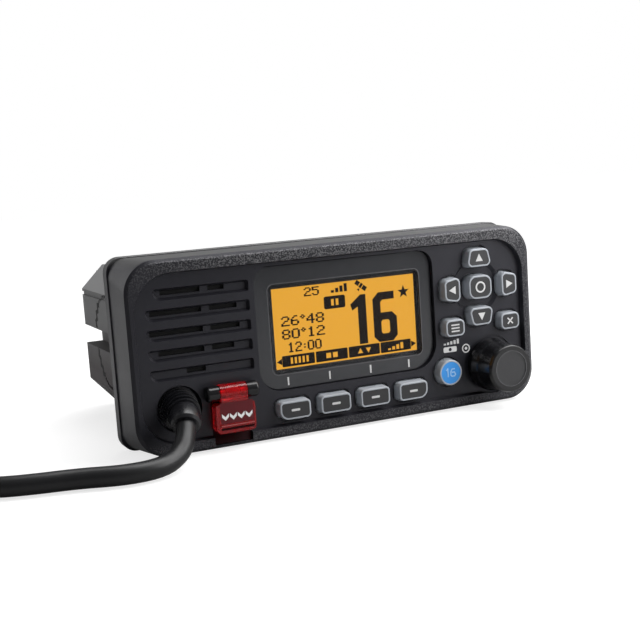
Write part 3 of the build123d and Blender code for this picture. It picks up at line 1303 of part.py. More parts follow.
def main():
    os.makedirs("parts", exist_ok=True)
    put("front_panel", front_panel())
    put("panel_gasket", panel_gasket())
    put("chassis", chassis())
    put("panel_screws", panel_screws())
    put("display_plate", display_plate())
    put("display_lens", display_lens())
    put("lcd_panel", lcd_panel())
    put("lcd_frame", lcd_frame())
    put("keypad_mat", keypad_mat())
    put("front_board", front_board())
    put("main_board", main_board())
    for name, face in KEYS.items():
        put(name, key(face))
    put("distress_tray", distress_tray())
    put("distress_button", distress_button())
    put("distress_hinge_caps", hinge_caps())
    put("distress_hinge_pin", along_x(PIN_R, BARREL_LONG + 2 * (CAP_GAP + CAP_LONG) - 2, COVER_X))
    put("distress_spring", distress_spring())
    put("distress_cover", distress_cover())
    put("speaker_cloth", speaker_cloth())
    put("speaker_frame", speaker_frame())
    put("speaker_cone", speaker_cone())
    put("volume_knob", volume_knob())
    put("knob_cap", knob_cap())
    put("encoder_shaft", encoder_shaft())
    put("encoder_plunger", encoder_plunger())
    put("encoder_body", encoder_body())
    put("encoder_nut", encoder_nut())
    put("mic_boot", mic_boot())
    put("boot_nut", boot_nut())
    put("antenna_socket", antenna_socket())
    put("antenna_insulator", antenna_insulator())
    put("antenna_contact", antenna_contact())
    put("power_socket", power_socket())
    put("aux_socket", aux_socket())
    put("ground_screw", ground_screw())
    put("cord_lead", cord_lead())
    put("cord_curl", cord_curl())
    put("cord_tail", cord_tail())
    place = mic_place()
    put("mic_front_shell", mic_front_shell(), place)
    put("mic_rear_shell", mic_rear_shell(), place)
    put("mic_ptt", mic_ptt(), place)
    put("mic_key_up", mic_key(1), place)
    put("mic_key_down", mic_key(-1), place)
    put("mic_stud", mic_stud(), place)
    put("mic_screws", mic_screws(), place)
    put("mic_capsule", mic_capsule(), place)
    put("mic_cord_boot", mic_cord_boot(), place)


main()
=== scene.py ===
"""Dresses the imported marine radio: finishes, the display's picture, marks on keys, and the cord."""
import json
from math import cos, pi, radians, sin

import bmesh
import bpy
from mathutils import Matrix, Vector


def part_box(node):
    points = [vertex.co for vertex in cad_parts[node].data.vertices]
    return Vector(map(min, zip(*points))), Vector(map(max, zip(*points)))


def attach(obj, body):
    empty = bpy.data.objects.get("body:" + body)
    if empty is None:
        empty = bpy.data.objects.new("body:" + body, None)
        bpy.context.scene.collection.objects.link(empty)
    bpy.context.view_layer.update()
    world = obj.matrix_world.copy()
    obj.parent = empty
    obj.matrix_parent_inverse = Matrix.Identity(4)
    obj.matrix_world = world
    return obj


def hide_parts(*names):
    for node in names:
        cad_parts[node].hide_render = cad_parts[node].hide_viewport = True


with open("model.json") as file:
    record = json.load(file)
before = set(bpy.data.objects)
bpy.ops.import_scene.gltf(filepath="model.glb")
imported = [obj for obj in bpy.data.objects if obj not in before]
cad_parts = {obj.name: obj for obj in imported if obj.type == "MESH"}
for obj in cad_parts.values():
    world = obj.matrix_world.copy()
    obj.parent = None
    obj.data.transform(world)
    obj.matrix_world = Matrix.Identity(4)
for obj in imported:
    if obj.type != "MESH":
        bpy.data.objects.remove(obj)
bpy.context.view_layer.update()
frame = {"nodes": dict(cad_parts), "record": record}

MM = 0.001
FOOT_Y = 20.9          # mm from the rim's plane back to the row's origin
NODES = frame["nodes"]


def at(x, y, z):
    """A point given in mm from the rim's plane, as part.py draws, in the row frame."""
    return Vector((x * MM, (y - FOOT_Y) * MM, z * MM))


def edges_of(node):
    """A CAD piece's left, right, bottom and top, in mm."""
    low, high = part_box(node)
    return low[0] / MM, high[0] / MM, low[2] / MM, high[2] / MM


def middle_of(node):
    left, right, bottom, top = edges_of(node)
    return (left + right) / 2, (bottom + top) / 2


def front_of(node):
    """How far a CAD piece's front lies behind the rim's plane, in mm."""
    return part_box(node)[0][1] / MM + FOOT_Y


# ================================================================ camera
CAMERA_AT = at(-168.882, -354.153, 91.862)
CAMERA_AXES = (                     # right, up and back of the camera
    (0.90634, -0.41722, -0.06684),
    (0.11604, 0.09366, 0.98882),
    (-0.40629, -0.90397, 0.13330),
)
LENS = 63.745          # mm, as the sensor
SENSOR = 36.0
CLIP_START = 0.01      # m


def add_camera():
    data = bpy.data.cameras.new("camera")
    data.lens = LENS
    data.sensor_width = SENSOR
    data.clip_start = CLIP_START
    camera = bpy.data.objects.new("camera", data)
    turn = Matrix(CAMERA_AXES).transposed().to_4x4()
    camera.matrix_world = Matrix.Translation(CAMERA_AT) @ turn
    bpy.context.collection.objects.link(camera)
    bpy.context.scene.camera = camera


# ================================================================ cord
WIRE = 6.5
LOW = WIRE / 2         # the middle line of a cord that lies on the surface
CURL = 19.0            # outside width of the turns
CURL_TURN = 13.0       # radius of the fold in the curly stretch
CURL_X = -136.0
CURL_START = 12.0
CURL_FAR = 104.0
CURL_END = 22.0
COIL_PITCH = 6.95
OPEN_PITCH = 20.0      # of the first and last turns, which open out into the straight cord
OPEN_TURNS = 0.9
GROW_TURNS = 0.62      # over which they grow to the full width
OPEN_ROOM = 4          # turns fewer, for the room that the open ones take
COIL_POINTS = 12       # control points in each turn
BACK_X = CURL_X - 2 * CURL_TURN

LEAD = [
    (-63.22, -7.94, 12.0),
    (-65.09, -13.07, 8.46),
    (-69.3, -16.9, 4.6),
    (-76.5, -21.7, 3.3),
    (-88.0, -22.6, LOW),
    (-101.0, -17.0, LOW),
    (-114.0, -14.5, LOW),
    (-125.5, -10.5, LOW),
    (CURL_X, -1.0, LOW),
]
TAIL = [
    (BACK_X, 11.5, LOW),
    (BACK_X - 0.6, 0.5, LOW),
    (BACK_X - 5.0, -11.0, LOW),
    (BACK_X - 12.5, -20.5, LOW + 1.2),
    (-186.0, -25.8, LOW + 3.6),
    (-198.7, -25.8, LOW + 6.8),
    (-207.5, -16.84, 11.61),
    (-207.5, -4.86, 12.39),
]
FOLD_OUT = CURL_FAR - CURL_START
FOLD_TURN = pi * CURL_TURN
FOLD = FOLD_OUT + FOLD_TURN + CURL_FAR - CURL_END


def fold_point(s):
    """The place and the heading, in mm, at a distance along the middle of the curly stretch."""
    if s < FOLD_OUT:
        return Vector((CURL_X, CURL_START + s, 0)), Vector((0, 1, 0))
    if s < FOLD_OUT + FOLD_TURN:
        a = (s - FOLD_OUT) / CURL_TURN
        place = Vector((CURL_X - CURL_TURN * (1 - cos(a)), CURL_FAR + CURL_TURN * sin(a), 0))
        return place, Vector((-sin(a), cos(a), 0))
    return Vector((BACK_X, CURL_FAR - (s - FOLD_OUT - FOLD_TURN), 0)), Vector((0, -1, 0))


def ease(t):
    """From 0 to 1 with a soft start and a soft end."""
    t = max(0.0, min(1.0, t))
    return t * t * (3 - 2 * t)


def coil_points():
    """The curly stretch's turns, which grow out of the straight cord and die back into it."""
    turns = round(FOLD / COIL_PITCH) - OPEN_ROOM
    steps = turns * COIL_POINTS
    near_end = [min(i, steps - i) / COIL_POINTS for i in range(steps + 1)]
    advance = [COIL_PITCH + (OPEN_PITCH - COIL_PITCH) * (1 - ease(n / OPEN_TURNS))
               for n in near_end]
    scale = FOLD / sum(advance[1:])
    full = (CURL - WIRE) / 2
    points = []
    s = 0.0
    for i in range(steps + 1):
        if i:
            s += advance[i] * scale
        place, ahead = fold_point(s)
        radius = full * ease(near_end[i] / GROW_TURNS)
        side = ahead.cross(Vector((0, 0, 1)))
        angle = 2 * pi * i / COIL_POINTS - pi / 2
        offset = side * cos(angle) * radius + Vector((0, 0, 1 + sin(angle))) * radius
        points.append(place + offset + Vector((0, 0, LOW)))
    return points


def add_cord():
    route = LEAD + coil_points() + TAIL
    data = bpy.data.curves.new("cord", "CURVE")
    data.dimensions = "3D"
    spline = data.splines.new("NURBS")
    spline.points.add(len(route) - 1)
    for point, place in zip(spline.points, route):
        point.co = (*at(*place), 1)
    spline.order_u = 3
    spline.use_endpoint_u = True
    spline.resolution_u = 4
    data.bevel_depth = WIRE / 2 * MM
    data.bevel_resolution = 6
    data.use_fill_caps = True
    cord = bpy.data.objects.new("cord", data)
    bpy.context.collection.objects.link(cord)
    cord.data.materials.append(MATERIALS["cord"])
    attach(cord, "radio")
    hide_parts("cord_lead", "cord_curl", "cord_tail")


# ================================================================ shader nodes
def link(tree, start, end):
    tree.links.new(start, end)


def coordinates(tree):
    """The shaded point's place, in m, in its piece's own frame."""
    node = tree.nodes.get("place")
    if not node:
        node = tree.nodes.new("ShaderNodeTexCoord")
        node.name = "place"
    return node.outputs["Object"]


def split_place(tree):
    """X, Y and Z of the shaded point."""
    split = tree.nodes.new("ShaderNodeSeparateXYZ")
    link(tree, coordinates(tree), split.inputs["Vector"])
    return split.outputs["X"], split.outputs["Y"], split.outputs["Z"]


def noise(tree, size, detail):
    """Noise with patches of about a size in mm."""
    node = tree.nodes.new("ShaderNodeTexNoise")
    node.inputs["Scale"].default_value = 1 / (size * MM)
    node.inputs["Detail"].default_value = detail
    link(tree, coordinates(tree), node.inputs["Vector"])
    return node.outputs["Fac"]


def bump(tree, height, depth):
    """A bump node whose relief is depth mm high."""
    node = tree.nodes.new("ShaderNodeBump")
    node.inputs["Distance"].default_value = depth * MM
    link(tree, height, node.inputs["Height"])
    return node


def ramp(tree, value, stops):
    """A colour ramp between two stops, each a position and a colour."""
    node = tree.nodes.new("ShaderNodeValToRGB")
    for element, (position, colour) in zip(node.color_ramp.elements, stops):
        element.position = position
        element.color = (*colour, 1)
    link(tree, value, node.inputs["Fac"])
    return node.outputs["Color"]


def between(tree, value, low, high):
    """0 at low, 1 at high and beyond."""
    node = tree.nodes.new("ShaderNodeMapRange")
    node.inputs["From Min"].default_value = low
    node.inputs["From Max"].default_value = high
    link(tree, value, node.inputs["Value"])
    return node.outputs["Result"]


def spread(tree, value, low, high):
    """A value from 0 to 1, taken to low and high. Low is a number or a socket."""
    node = tree.nodes.new("ShaderNodeMapRange")
    if isinstance(low, (int, float)):
        node.inputs["To Min"].default_value = low
    else:
        link(tree, low, node.inputs["To Min"])
    node.inputs["To Max"].default_value = high
    link(tree, value, node.inputs["Value"])
    return node.outputs["Result"]


def combine(tree, operation, first, second):
    """A math node on a socket and on a second socket or a plain number."""
    node = tree.nodes.new("ShaderNodeMath")
    node.operation = operation
    link(tree, first, node.inputs[0])
    if isinstance(second, (int, float)):
        node.inputs[1].default_value = second
    else:
        link(tree, second, node.inputs[1])
    return node.outputs[0]


def mix(tree, factor, start):
    """A colour mix that begins at a socket's colour. Its B is left for the caller."""
    node = tree.nodes.new("ShaderNodeMix")
    node.data_type = "RGBA"
    link(tree, factor, node.inputs["Factor"])
    link(tree, start, node.inputs["A"])
    return node


# ================================================================ materials
DRIFT = (0.3, 0.7)     # where the slow noise's two tones lie
GLOSS_DRIFT = 0.05     # how far the roughness drifts to each side
SMOOTHEST = 0.02
SPECULAR = "Specular IOR Level"


def finish(name, colour, roughness, metallic=0.0, grain=0.4, depth=0.02, mottle=0.08,
           patch=12.0, **sockets):
    """A principled material with a fine grain, and a slow drift of colour and roughness.

    grain and patch are sizes in mm, depth is the grain's height in mm, and mottle is the
    share by which the colour drifts."""
    material = bpy.data.materials.new(name)
    material.use_nodes = True
    tree = material.node_tree
    shader = tree.nodes["Principled BSDF"]
    shader.inputs["Metallic"].default_value = metallic
    for socket, value in sockets.items():
        shader.inputs[socket].default_value = value
    relief = bump(tree, noise(tree, grain, detail=3), depth)
    link(tree, relief.outputs["Normal"], shader.inputs["Normal"])
    slow = noise(tree, patch, detail=4)
    darker = [c * (1 - mottle) for c in colour]
    paler = [min(1.0, c * (1 + mottle)) for c in colour]
    tone = ramp(tree, slow, [(DRIFT[0], darker), (DRIFT[1], paler)])
    link(tree, tone, shader.inputs["Base Color"])
    gloss = spread(tree, slow, max(SMOOTHEST, roughness - GLOSS_DRIFT),
                   min(1.0, roughness + GLOSS_DRIFT))
    link(tree, gloss, shader.inputs["Roughness"])
    return material


# where the bezel's coarse grain, and the pale specks painted on it as highlights, begin and are full,
# in mm
GRAIN_AND_PAINTED_GLINT_Y = (0.5, 0.15)          # in front of the sunk panel
PAINTED_GLINT_TOP_Z = (50, 62)
PAINTED_GLINT_TOP_X = (-90, -40)       # the painted highlights on the top band fade to the left, where less light falls
PAINTED_GLINT_FOOT_Z = (6, 3)
PAINTED_GLINT_RIGHT_X = (68, 74)
PAINTED_GLINT_FOOT = 0.5               # its strength at the foot
PAINTED_GLINT_RIGHT = 0.45
SPECK = 0.50                   # size
SPECK_DEPTH = 0.06
# dark and pale tones of the rim's specks: the pale one is a painted highlight
PAINTED_GLINT_TONES = [(0.46, (0.010, 0.010, 0.012)), (0.61, (0.135, 0.134, 0.138))]
# painted light: the bezel's wall on top is made paler, where the light from above falls on it
PAINTED_TOP_LIGHT_Z = (63, 65)
PAINTED_TOP_LIGHT_Y = (1.5, 2.2)
PAINTED_TOP_LIGHT_TONE = (0.058, 0.058, 0.058)


def bezel_finish():
    """Charcoal moulding with a coarse grain on its rim, pale specks painted on it as highlights at
    its top, right and foot, and painted light on its top wall.
    """
    material = finish("bezel", (0.0155, 0.0155, 0.0195), 0.34, grain=0.35, depth=0.016,
                      **{SPECULAR: 0.36, "Specular Tint": (0.94, 0.93, 1.0, 1)})
    tree = material.node_tree
    shader = tree.nodes["Principled BSDF"]
    fine = shader.inputs["Normal"].links[0].from_socket
    plain = shader.inputs["Base Color"].links[0].from_socket
    x, y, z = split_place(tree)

    def along(value, span):
        return between(tree, value, span[0] * MM, span[1] * MM)

    def back(span):
        return between(tree, y, at(0, span[0], 0).y, at(0, span[1], 0).y)

    rim = back(GRAIN_AND_PAINTED_GLINT_Y)
    top = combine(tree, "MULTIPLY", along(z, PAINTED_GLINT_TOP_Z), along(x, PAINTED_GLINT_TOP_X))
    foot = combine(tree, "MULTIPLY", along(z, PAINTED_GLINT_FOOT_Z), PAINTED_GLINT_FOOT)
    right = combine(tree, "MULTIPLY", along(x, PAINTED_GLINT_RIGHT_X), PAINTED_GLINT_RIGHT)
    painted_glint_share = combine(tree, "MAXIMUM", top, combine(tree, "MAXIMUM", foot, right))
    speck = noise(tree, SPECK, detail=2)
    coarse = bump(tree, speck, SPECK_DEPTH)
    link(tree, rim, coarse.inputs["Strength"])
    link(tree, fine, coarse.inputs["Normal"])
    link(tree, coarse.outputs["Normal"], shader.inputs["Normal"])
    # painted highlights: pale specks where the light falls on the rim's top, right and foot
    painted_glints = mix(tree, combine(tree, "MULTIPLY", rim, painted_glint_share), plain)
    link(tree, ramp(tree, speck, PAINTED_GLINT_TONES), painted_glints.inputs["B"])
    # painted light: the top wall is made paler than the rest of the bezel
    painted_top_light = combine(tree, "MULTIPLY", along(z, PAINTED_TOP_LIGHT_Z), back(PAINTED_TOP_LIGHT_Y))
    top_light_painted = mix(tree, painted_top_light, painted_glints.outputs["Result"])
    top_light_painted.inputs["B"].default_value = (*PAINTED_TOP_LIGHT_TONE, 1)
    link(tree, top_light_painted.outputs["Result"], shader.inputs["Base Color"])
    return material


CASE_PAINTED_SHADE_Z = (41, 20)          # mm, where the painted shade low on the case begins and is full
CASE_PAINTED_SHADE = (0.062, 0.052, 0.054)


def case_finish():
    """Satin grey over die-cast metal, with shade painted in, darker low on the case."""
    material = finish("case", (0.225, 0.225, 0.228), 0.5, grain=0.5, mottle=0.03, patch=25.0,
                      **{SPECULAR: 0.15})
    tree = material.node_tree
    shader = tree.nodes["Principled BSDF"]
    plain = shader.inputs["Base Color"].links[0].from_socket
    start, end = CASE_PAINTED_SHADE_Z
    # painted shade: the case darkens towards its foot
    painted_shade_share = between(tree, split_place(tree)[2], start * MM, end * MM)
    shade_painted = mix(tree, painted_shade_share, plain)
    shade_painted.inputs["B"].default_value = (*CASE_PAINTED_SHADE, 1)
    link(tree, shade_painted.outputs["Result"], shader.inputs["Base Color"])
    return material


GREY = (0.37, 0.395, 0.43)
LIT = {"Emission Color": (0.76, 0.365, 0.030, 1), "Emission Strength": 1.0, SPECULAR: 0.1}
CLEAR = {"Transmission Weight": 0.8, "IOR": 1.4}
FINISHES = {               # colour, roughness, and what differs from a plain finish
    "gasket": ((0.012, 0.012, 0.012), 0.8, {}),
    "steel": ((0.52, 0.52, 0.51), 0.3, {"metallic": 1.0}),
    "display_plate": ((0.031, 0.032, 0.036), 0.20, {"depth": 0.002}),
    "lens": ((0.30, 0.30, 0.32), 0.05, {"depth": 0.001, "Alpha": 0.04}),
    "lcd": ((0.05, 0.02, 0.002), 0.5, {"depth": 0.002, "mottle": 0.03, "patch": 30.0, **LIT}),
    "white_plastic": ((0.7, 0.7, 0.68), 0.5, {}),
    "silicone": ((0.35, 0.35, 0.34), 0.6, {}),
    "board": ((0.02, 0.10, 0.04), 0.4, {}),
    "distress_red": ((0.75, 0.010, 0.018), 0.06, {"depth": 0.002, **CLEAR}),
    "tray_red": ((0.014, 0.001, 0.002), 0.5, {"depth": 0.004, SPECULAR: 0.08}),
    "label_red": ((0.110, 0.016, 0.020), 0.5, {"depth": 0.003, SPECULAR: 0.15}),
    # a painted highlight along the distress cover's ridge
    "ridge_highlight_paint": ((0.36, 0.10, 0.10), 0.4, {"depth": 0.001}),
    "blue_mark": ((0.30, 0.52, 0.80), 0.5, {"depth": 0.002}),
    # painted highlight for the bright line round the knob's end
    "knob_edge": ((0.10, 0.10, 0.105), 0.25, {"metallic": 0.3, "depth": 0.002}),
    "cloth": ((0.004, 0.004, 0.004), 0.95, {"grain": 0.5, "depth": 0.05}),
    "lcd_dark": ((0.022, 0.023, 0.026), 0.20, {"depth": 0.001}),
    "hinge_black": ((0.005, 0.005, 0.006), 0.18, {"depth": 0.004, SPECULAR: 0.4}),
    "cone": ((0.02, 0.02, 0.02), 0.9, {}),
    "knob": ((0.006, 0.006, 0.007), 0.22, {"depth": 0.004}),
    "knob_face": ((0.025, 0.025, 0.027), 0.4, {"depth": 0.004}),
    "brass": ((0.6, 0.42, 0.16), 0.3, {"metallic": 1.0}),
    "encoder": ((0.1, 0.1, 0.1), 0.5, {}),
    "nickel": ((0.62, 0.61, 0.58), 0.2, {"metallic": 1.0, "depth": 0.004}),
    "boot": ((0.009, 0.009, 0.011), 0.28, {"grain": 0.3, "depth": 0.006, SPECULAR: 0.5}),
    "insulator": ((0.75, 0.73, 0.68), 0.5, {}),
    "black_plastic": ((0.012, 0.012, 0.013), 0.5, {}),
    "cord": ((0.008, 0.008, 0.009), 0.40, {"grain": 0.6, "depth": 0.01, SPECULAR: 0.35}),
    "mic_shell": ((0.017, 0.017, 0.019), 0.45, {"grain": 0.45, "depth": 0.03}),
    "mic_key": ((0.06, 0.06, 0.063), 0.6, {}),
    "keys": (GREY, 0.32, {"depth": 0.004}),
    "key_blue": (GREY, 0.32, {"depth": 0.004}),
    "key_face": ((0.022, 0.022, 0.024), 0.4, {"grain": 0.25, "depth": 0.006}),
    "blue_face": ((0.030, 0.27, 0.72), 0.35, {"depth": 0.003}),
    "print": ((0.62, 0.62, 0.62), 0.5, {"depth": 0.002}),
    "print_white": ((0.85, 0.85, 0.85), 0.5, {"depth": 0.002}),
    # a painted highlight along the display lens's edge
    "window_painted_highlight": ((0.085, 0.085, 0.092), 0.4, {"depth": 0.002}),
    "ink": ((0.006, 0.003, 0.001), 0.6, {"depth": 0.001, SPECULAR: 0.05}),
}
MATERIALS = {name: finish(name, colour, roughness, **more)
             for name, (colour, roughness, more) in FINISHES.items()}
MATERIALS["bezel"] = bezel_finish()
MATERIALS["case"] = case_finish()
OWN_FINISH = {"distress_tray": "tray_red", "lcd_panel": "lcd_dark"}


def paint_nodes():
    """Gives each CAD node its slot's material, or its own where the slot's doesn't suit it."""
    for part in frame["record"]["subparts"]:
        node = NODES[part["node"]]
        material = MATERIALS[OWN_FINISH.get(part["node"], part["material_slot"])]
        node.data.materials.clear()
        node.data.materials.append(material)


# ================================================================ flat shapes
def flat(name, outlines, y, material, body, holes=(), rise=0.06, place=None):
    """Outlines in mm, each a list of (x, z), as one thin piece whose front lies at depth y.

    place, if given, is the matrix that puts it somewhere else."""
    curve = bpy.data.curves.new(name, "CURVE")
    curve.dimensions = "2D"
    curve.fill_mode = "BOTH"
    curve.extrude = rise / 2 * MM
    for outline in [*outlines, *holes]:
        spline = curve.splines.new("POLY")
        spline.points.add(len(outline) - 1)
        for point, (x, z) in zip(spline.points, outline):
            point.co = (x * MM, z * MM, 0, 1)
        spline.use_cyclic_u = True
    piece = bpy.data.objects.new(name, curve)
    bpy.context.collection.objects.link(piece)
    stand = Matrix.Rotation(pi / 2, 4, "X")
    piece.matrix_world = (place or Matrix.Translation(at(0, y + rise / 2, 0))) @ stand
    piece.data.materials.append(MATERIALS[material])
    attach(piece, body)
    return piece


def printed(name, outlines, surface, material="print", body="radio", holes=(), rise=0.04):
    """A flat piece that is half sunk in the surface at that depth."""
    flat(name, outlines, surface - rise / 2, material, body, holes, rise)


CORNER_STEPS = 4


def box(x0, x1, z0, z1, radius=0.0):
    """A rectangle's outline, with round corners if it has a radius."""
    if not radius:
        return [(x0, z0), (x1, z0), (x1, z1), (x0, z1)]
    points = []
    middles = [(x1 - radius, z1 - radius), (x0 + radius, z1 - radius),
               (x0 + radius, z0 + radius), (x1 - radius, z0 + radius)]
    for quarter, (cx, cz) in enumerate(middles):
        for i in range(CORNER_STEPS + 1):
            a = pi / 2 * (quarter + i / CORNER_STEPS)
            points.append((cx + radius * cos(a), cz + radius * sin(a)))
    return points


def oblong(x, z, width, height, radius=0.0):
    """A rectangle's outline round its middle."""
    return box(x - width / 2, x + width / 2, z - height / 2, z + height / 2, radius)


def bars(count, x, z, pitch, width, height, growth=0.0):
    """A row of bars whose left foot is at x and z, each higher than the last by growth."""
    return [box(x + i * pitch, x + i * pitch + width, z, z + height + i * growth)
            for i in range(count)]


def ring(x, z, radius, sides=32):
    return [(x + radius * cos(2 * pi * i / sides), z + radius * sin(2 * pi * i / sides))
            for i in range(sides)]


def moved(outlines, x, z):
    return [[(x + px, z + pz) for px, pz in outline] for outline in outlines]


TRIANGLE_TIP = 0.5     # from its middle, as a share of its size
TRIANGLE_FOOT = 0.42


def triangle(x, z, size, turn):
    """Points up, and is then turned anticlockwise by turn degrees."""
    a = radians(turn)
    foot = -size * TRIANGLE_FOOT
    return [(x + px * cos(a) - pz * sin(a), z + px * sin(a) + pz * cos(a))
            for px, pz in [(-size / 2, foot), (size / 2, foot), (0, size * TRIANGLE_TIP)]]


STAR_DENT = 0.42       # a star's inner corners, as a share of its radius


def star(x, z, radius):
    """Five points, one of them up."""
    points = []
    for i in range(10):
        r = radius if i % 2 == 0 else radius * STAR_DENT
        a = pi / 2 + pi * i / 5
        points.append((x + r * cos(a), z + r * sin(a)))
    return points


SHARPEST = 0.4         # keeps a mitre from running out at a sharp corner


def stroke(points, width):
    """A band of even width along a line of points, with mitred corners."""
    left, right = [], []
    line = [Vector(p) for p in points]
    for i, p in enumerate(line):
        before = (p - line[i - 1]).normalized() if i else (line[1] - p).normalized()
        after = (line[i + 1] - p).normalized() if i < len(line) - 1 else before
        across = (before + after).normalized()
        normal = Vector((-across.y, across.x))
        reach = width / 2 / max(SHARPEST, normal.dot(Vector((-before.y, before.x))))
        left.append(p + normal * reach)
        right.append(p - normal * reach)
    return [tuple(p) for p in left + right[::-1]]


# ================================================================ display picture
DOTS = {
    "0": ["01110", "10001", "10001", "10001", "10001", "10001", "01110"],
    "1": ["00100", "01100", "00100", "00100", "00100", "00100", "01110"],
    "2": ["01110", "10001", "00001", "00110", "01000", "10000", "11111"],
    "4": ["00010", "00110", "01010", "10010", "11111", "00010", "00010"],
    "5": ["11111", "10000", "11110", "00001", "00001", "10001", "01110"],
    "6": ["00110", "01000", "10000", "11110", "10001", "10001", "01110"],
    "8": ["01110", "10001", "10001", "01110", "10001", "10001", "01110"],
    ":": ["000", "000", "010", "000", "010", "000", "000"],
    "°": ["010", "101", "010", "000", "000", "000", "000"],
}
DOT_ROWS = 7
DOT_SPREAD = 0.11      # mm that a lit dot spreads to each side
DOT_HEIGHT = 0.97      # of its row

# the picture on the glass, in mm
LCD = (-24.9, 30.85, 23.35, 51.45)     # lit area: left, right, bottom, top
TEXTS = [                              # characters, left, top, height, widening
    ("25", -12.6, 50.8, 3.1, 1.15),
    ("26°48", -21.9, 41.6, 3.5, 1.2),
    ("80°12", -21.9, 37.0, 3.5, 1.2),
    ("12:00", -20.1, 32.3, 3.5, 0.95),
]
ONE = [(4.9, 42.9), (9.0, 46.1), (11.1, 46.1), (11.1, 28.3), (7.8, 28.3), (7.8, 41.9), (5.6, 40.7)]
SIX = [(16.2, 46.1), (22.5, 46.1), (22.5, 43.3), (17.7, 43.3), (16.9, 42.5), (16.9, 38.7),
       (21.4, 38.7), (23.3, 36.8), (23.3, 30.0), (21.4, 28.1), (15.8, 28.1), (13.8, 30.1),
       (13.8, 43.8)]
SIX_EYE = [(17.5, 36.0), (19.7, 36.0), (20.3, 35.4), (20.3, 31.6), (19.7, 31.0), (17.5, 31.0),
           (16.9, 31.6), (16.9, 35.4)]
SOFT_BOXES = [-16.4, -3.5, 9.4, 22.2]
SOFT_BOX = (12.4, 3.9, 0.4)            # width, height, corner radius
SOFT_BOX_Z = 25.9
WAIT_BOX = (-5.3, 3.0, 42.3, 46.8)
WAIT_ROUND = 0.7
STAR = (26.5, 45.3, 2.4)
STRENGTH = (4, -2.3, 47.9, 1.7, 1.2, 0.9, 0.65)    # the signal bars, as bars() takes them
POINTERS = [(-23.6, 90), (29.5, -90)]  # x and turn of the triangles at the row's ends
POINTER = 2.2
SATELLITE = (9.5, 49.3)
SATELLITE_TILT = -38
SATELLITE_BODY = [box(-2.5, -0.8, -0.8, 0.8), box(0.8, 2.5, -0.8, 0.8), box(-0.5, 0.5, -0.9, 0.9)]
SATELLITE_DISH = triangle(-1.0, -1.5, 1.1, 190)
SOFT_SIGNS = [                         # bars, two squares, two arrows, a stepped wedge
    bars(5, -3, -1.1, 1.5, 0.8, 2.2),
    [oblong(-1.3, 0, 1.8, 1.8), oblong(1.3, 0, 1.8, 1.8)],
    [triangle(-1.6, 0, 2.0, 0), triangle(1.6, 0, 2.0, 180)],
    bars(4, -3.2, -1.2, 1.7, 1.1, 0.6, 0.55),
]
WAIT_SIGN = [oblong(-0.85, 0, 1.0, 2.3), oblong(0.95, 0, 1.0, 2.3)]
LIT_RISE = 0.05
LIT_Y = 0.06           # how far the lit area's front stands before the panel's
INK_Y = 0.06           # and the ink's before that


def dot_text(words, x, top, height, wide):
    """Outlines of the lit dots of some characters."""
    cell = height / DOT_ROWS
    outlines = []
    for letter in words:
        rows = DOTS[letter]
        for r, row in enumerate(rows):
            z1 = top - r * cell
            start = 0
            for run in row.replace("01", "0 1").replace("10", "1 0").split():
                x0 = x + start * cell * wide
                start += len(run)
                if run[0] == "1":
                    outlines.append(box(x0 - DOT_SPREAD, x + start * cell * wide + DOT_SPREAD,
                                        z1 - cell * DOT_HEIGHT, z1))
        x += (len(rows[0]) + 1) * cell * wide
    return outlines


def satellite(x, z):
    """Two panels and a body, tilted, with a dish under them."""
    tilt = Matrix.Rotation(radians(SATELLITE_TILT), 2)
    tilted = [[tuple(tilt @ Vector(p)) for p in shape] for shape in SATELLITE_BODY]
    return moved([*tilted, SATELLITE_DISH], x, z)


def box_signs():
    """The pale pictograms in the dark boxes."""
    signs = []
    for x, sign in zip(SOFT_BOXES, SOFT_SIGNS):
        signs += moved(sign, x, SOFT_BOX_Z)
    left, right, bottom, top = WAIT_BOX
    return signs + moved(WAIT_SIGN, (left + right) / 2, (bottom + top) / 2)


def add_picture():
    """What the display shows: plain digits and pictograms in dark dots on the lit glass."""
    y = front_of("lcd_panel") - LIT_Y
    lit = flat("lcd_light", [box(*LCD)], y, "lcd", "radio", rise=LIT_RISE)
    ink = [ONE, star(*STAR)]
    for text in TEXTS:
        ink += dot_text(*text)
    ink += bars(*STRENGTH)
    ink += [triangle(x, SOFT_BOX_Z, POINTER, turn) for x, turn in POINTERS]
    ink += satellite(*SATELLITE)
    flat("lcd_ink", ink, y - INK_Y, "ink", "radio")
    flat("lcd_six", [SIX], y - INK_Y, "ink", "radio", [SIX_EYE])
    boxes = [oblong(x, SOFT_BOX_Z, *SOFT_BOX) for x in SOFT_BOXES]
    boxes.append(box(*WAIT_BOX, WAIT_ROUND))
    flat("lcd_boxes", boxes, y - INK_Y, "ink", "radio")
    flat("lcd_signs", box_signs(), y - 2 * INK_Y, "lcd", "radio")


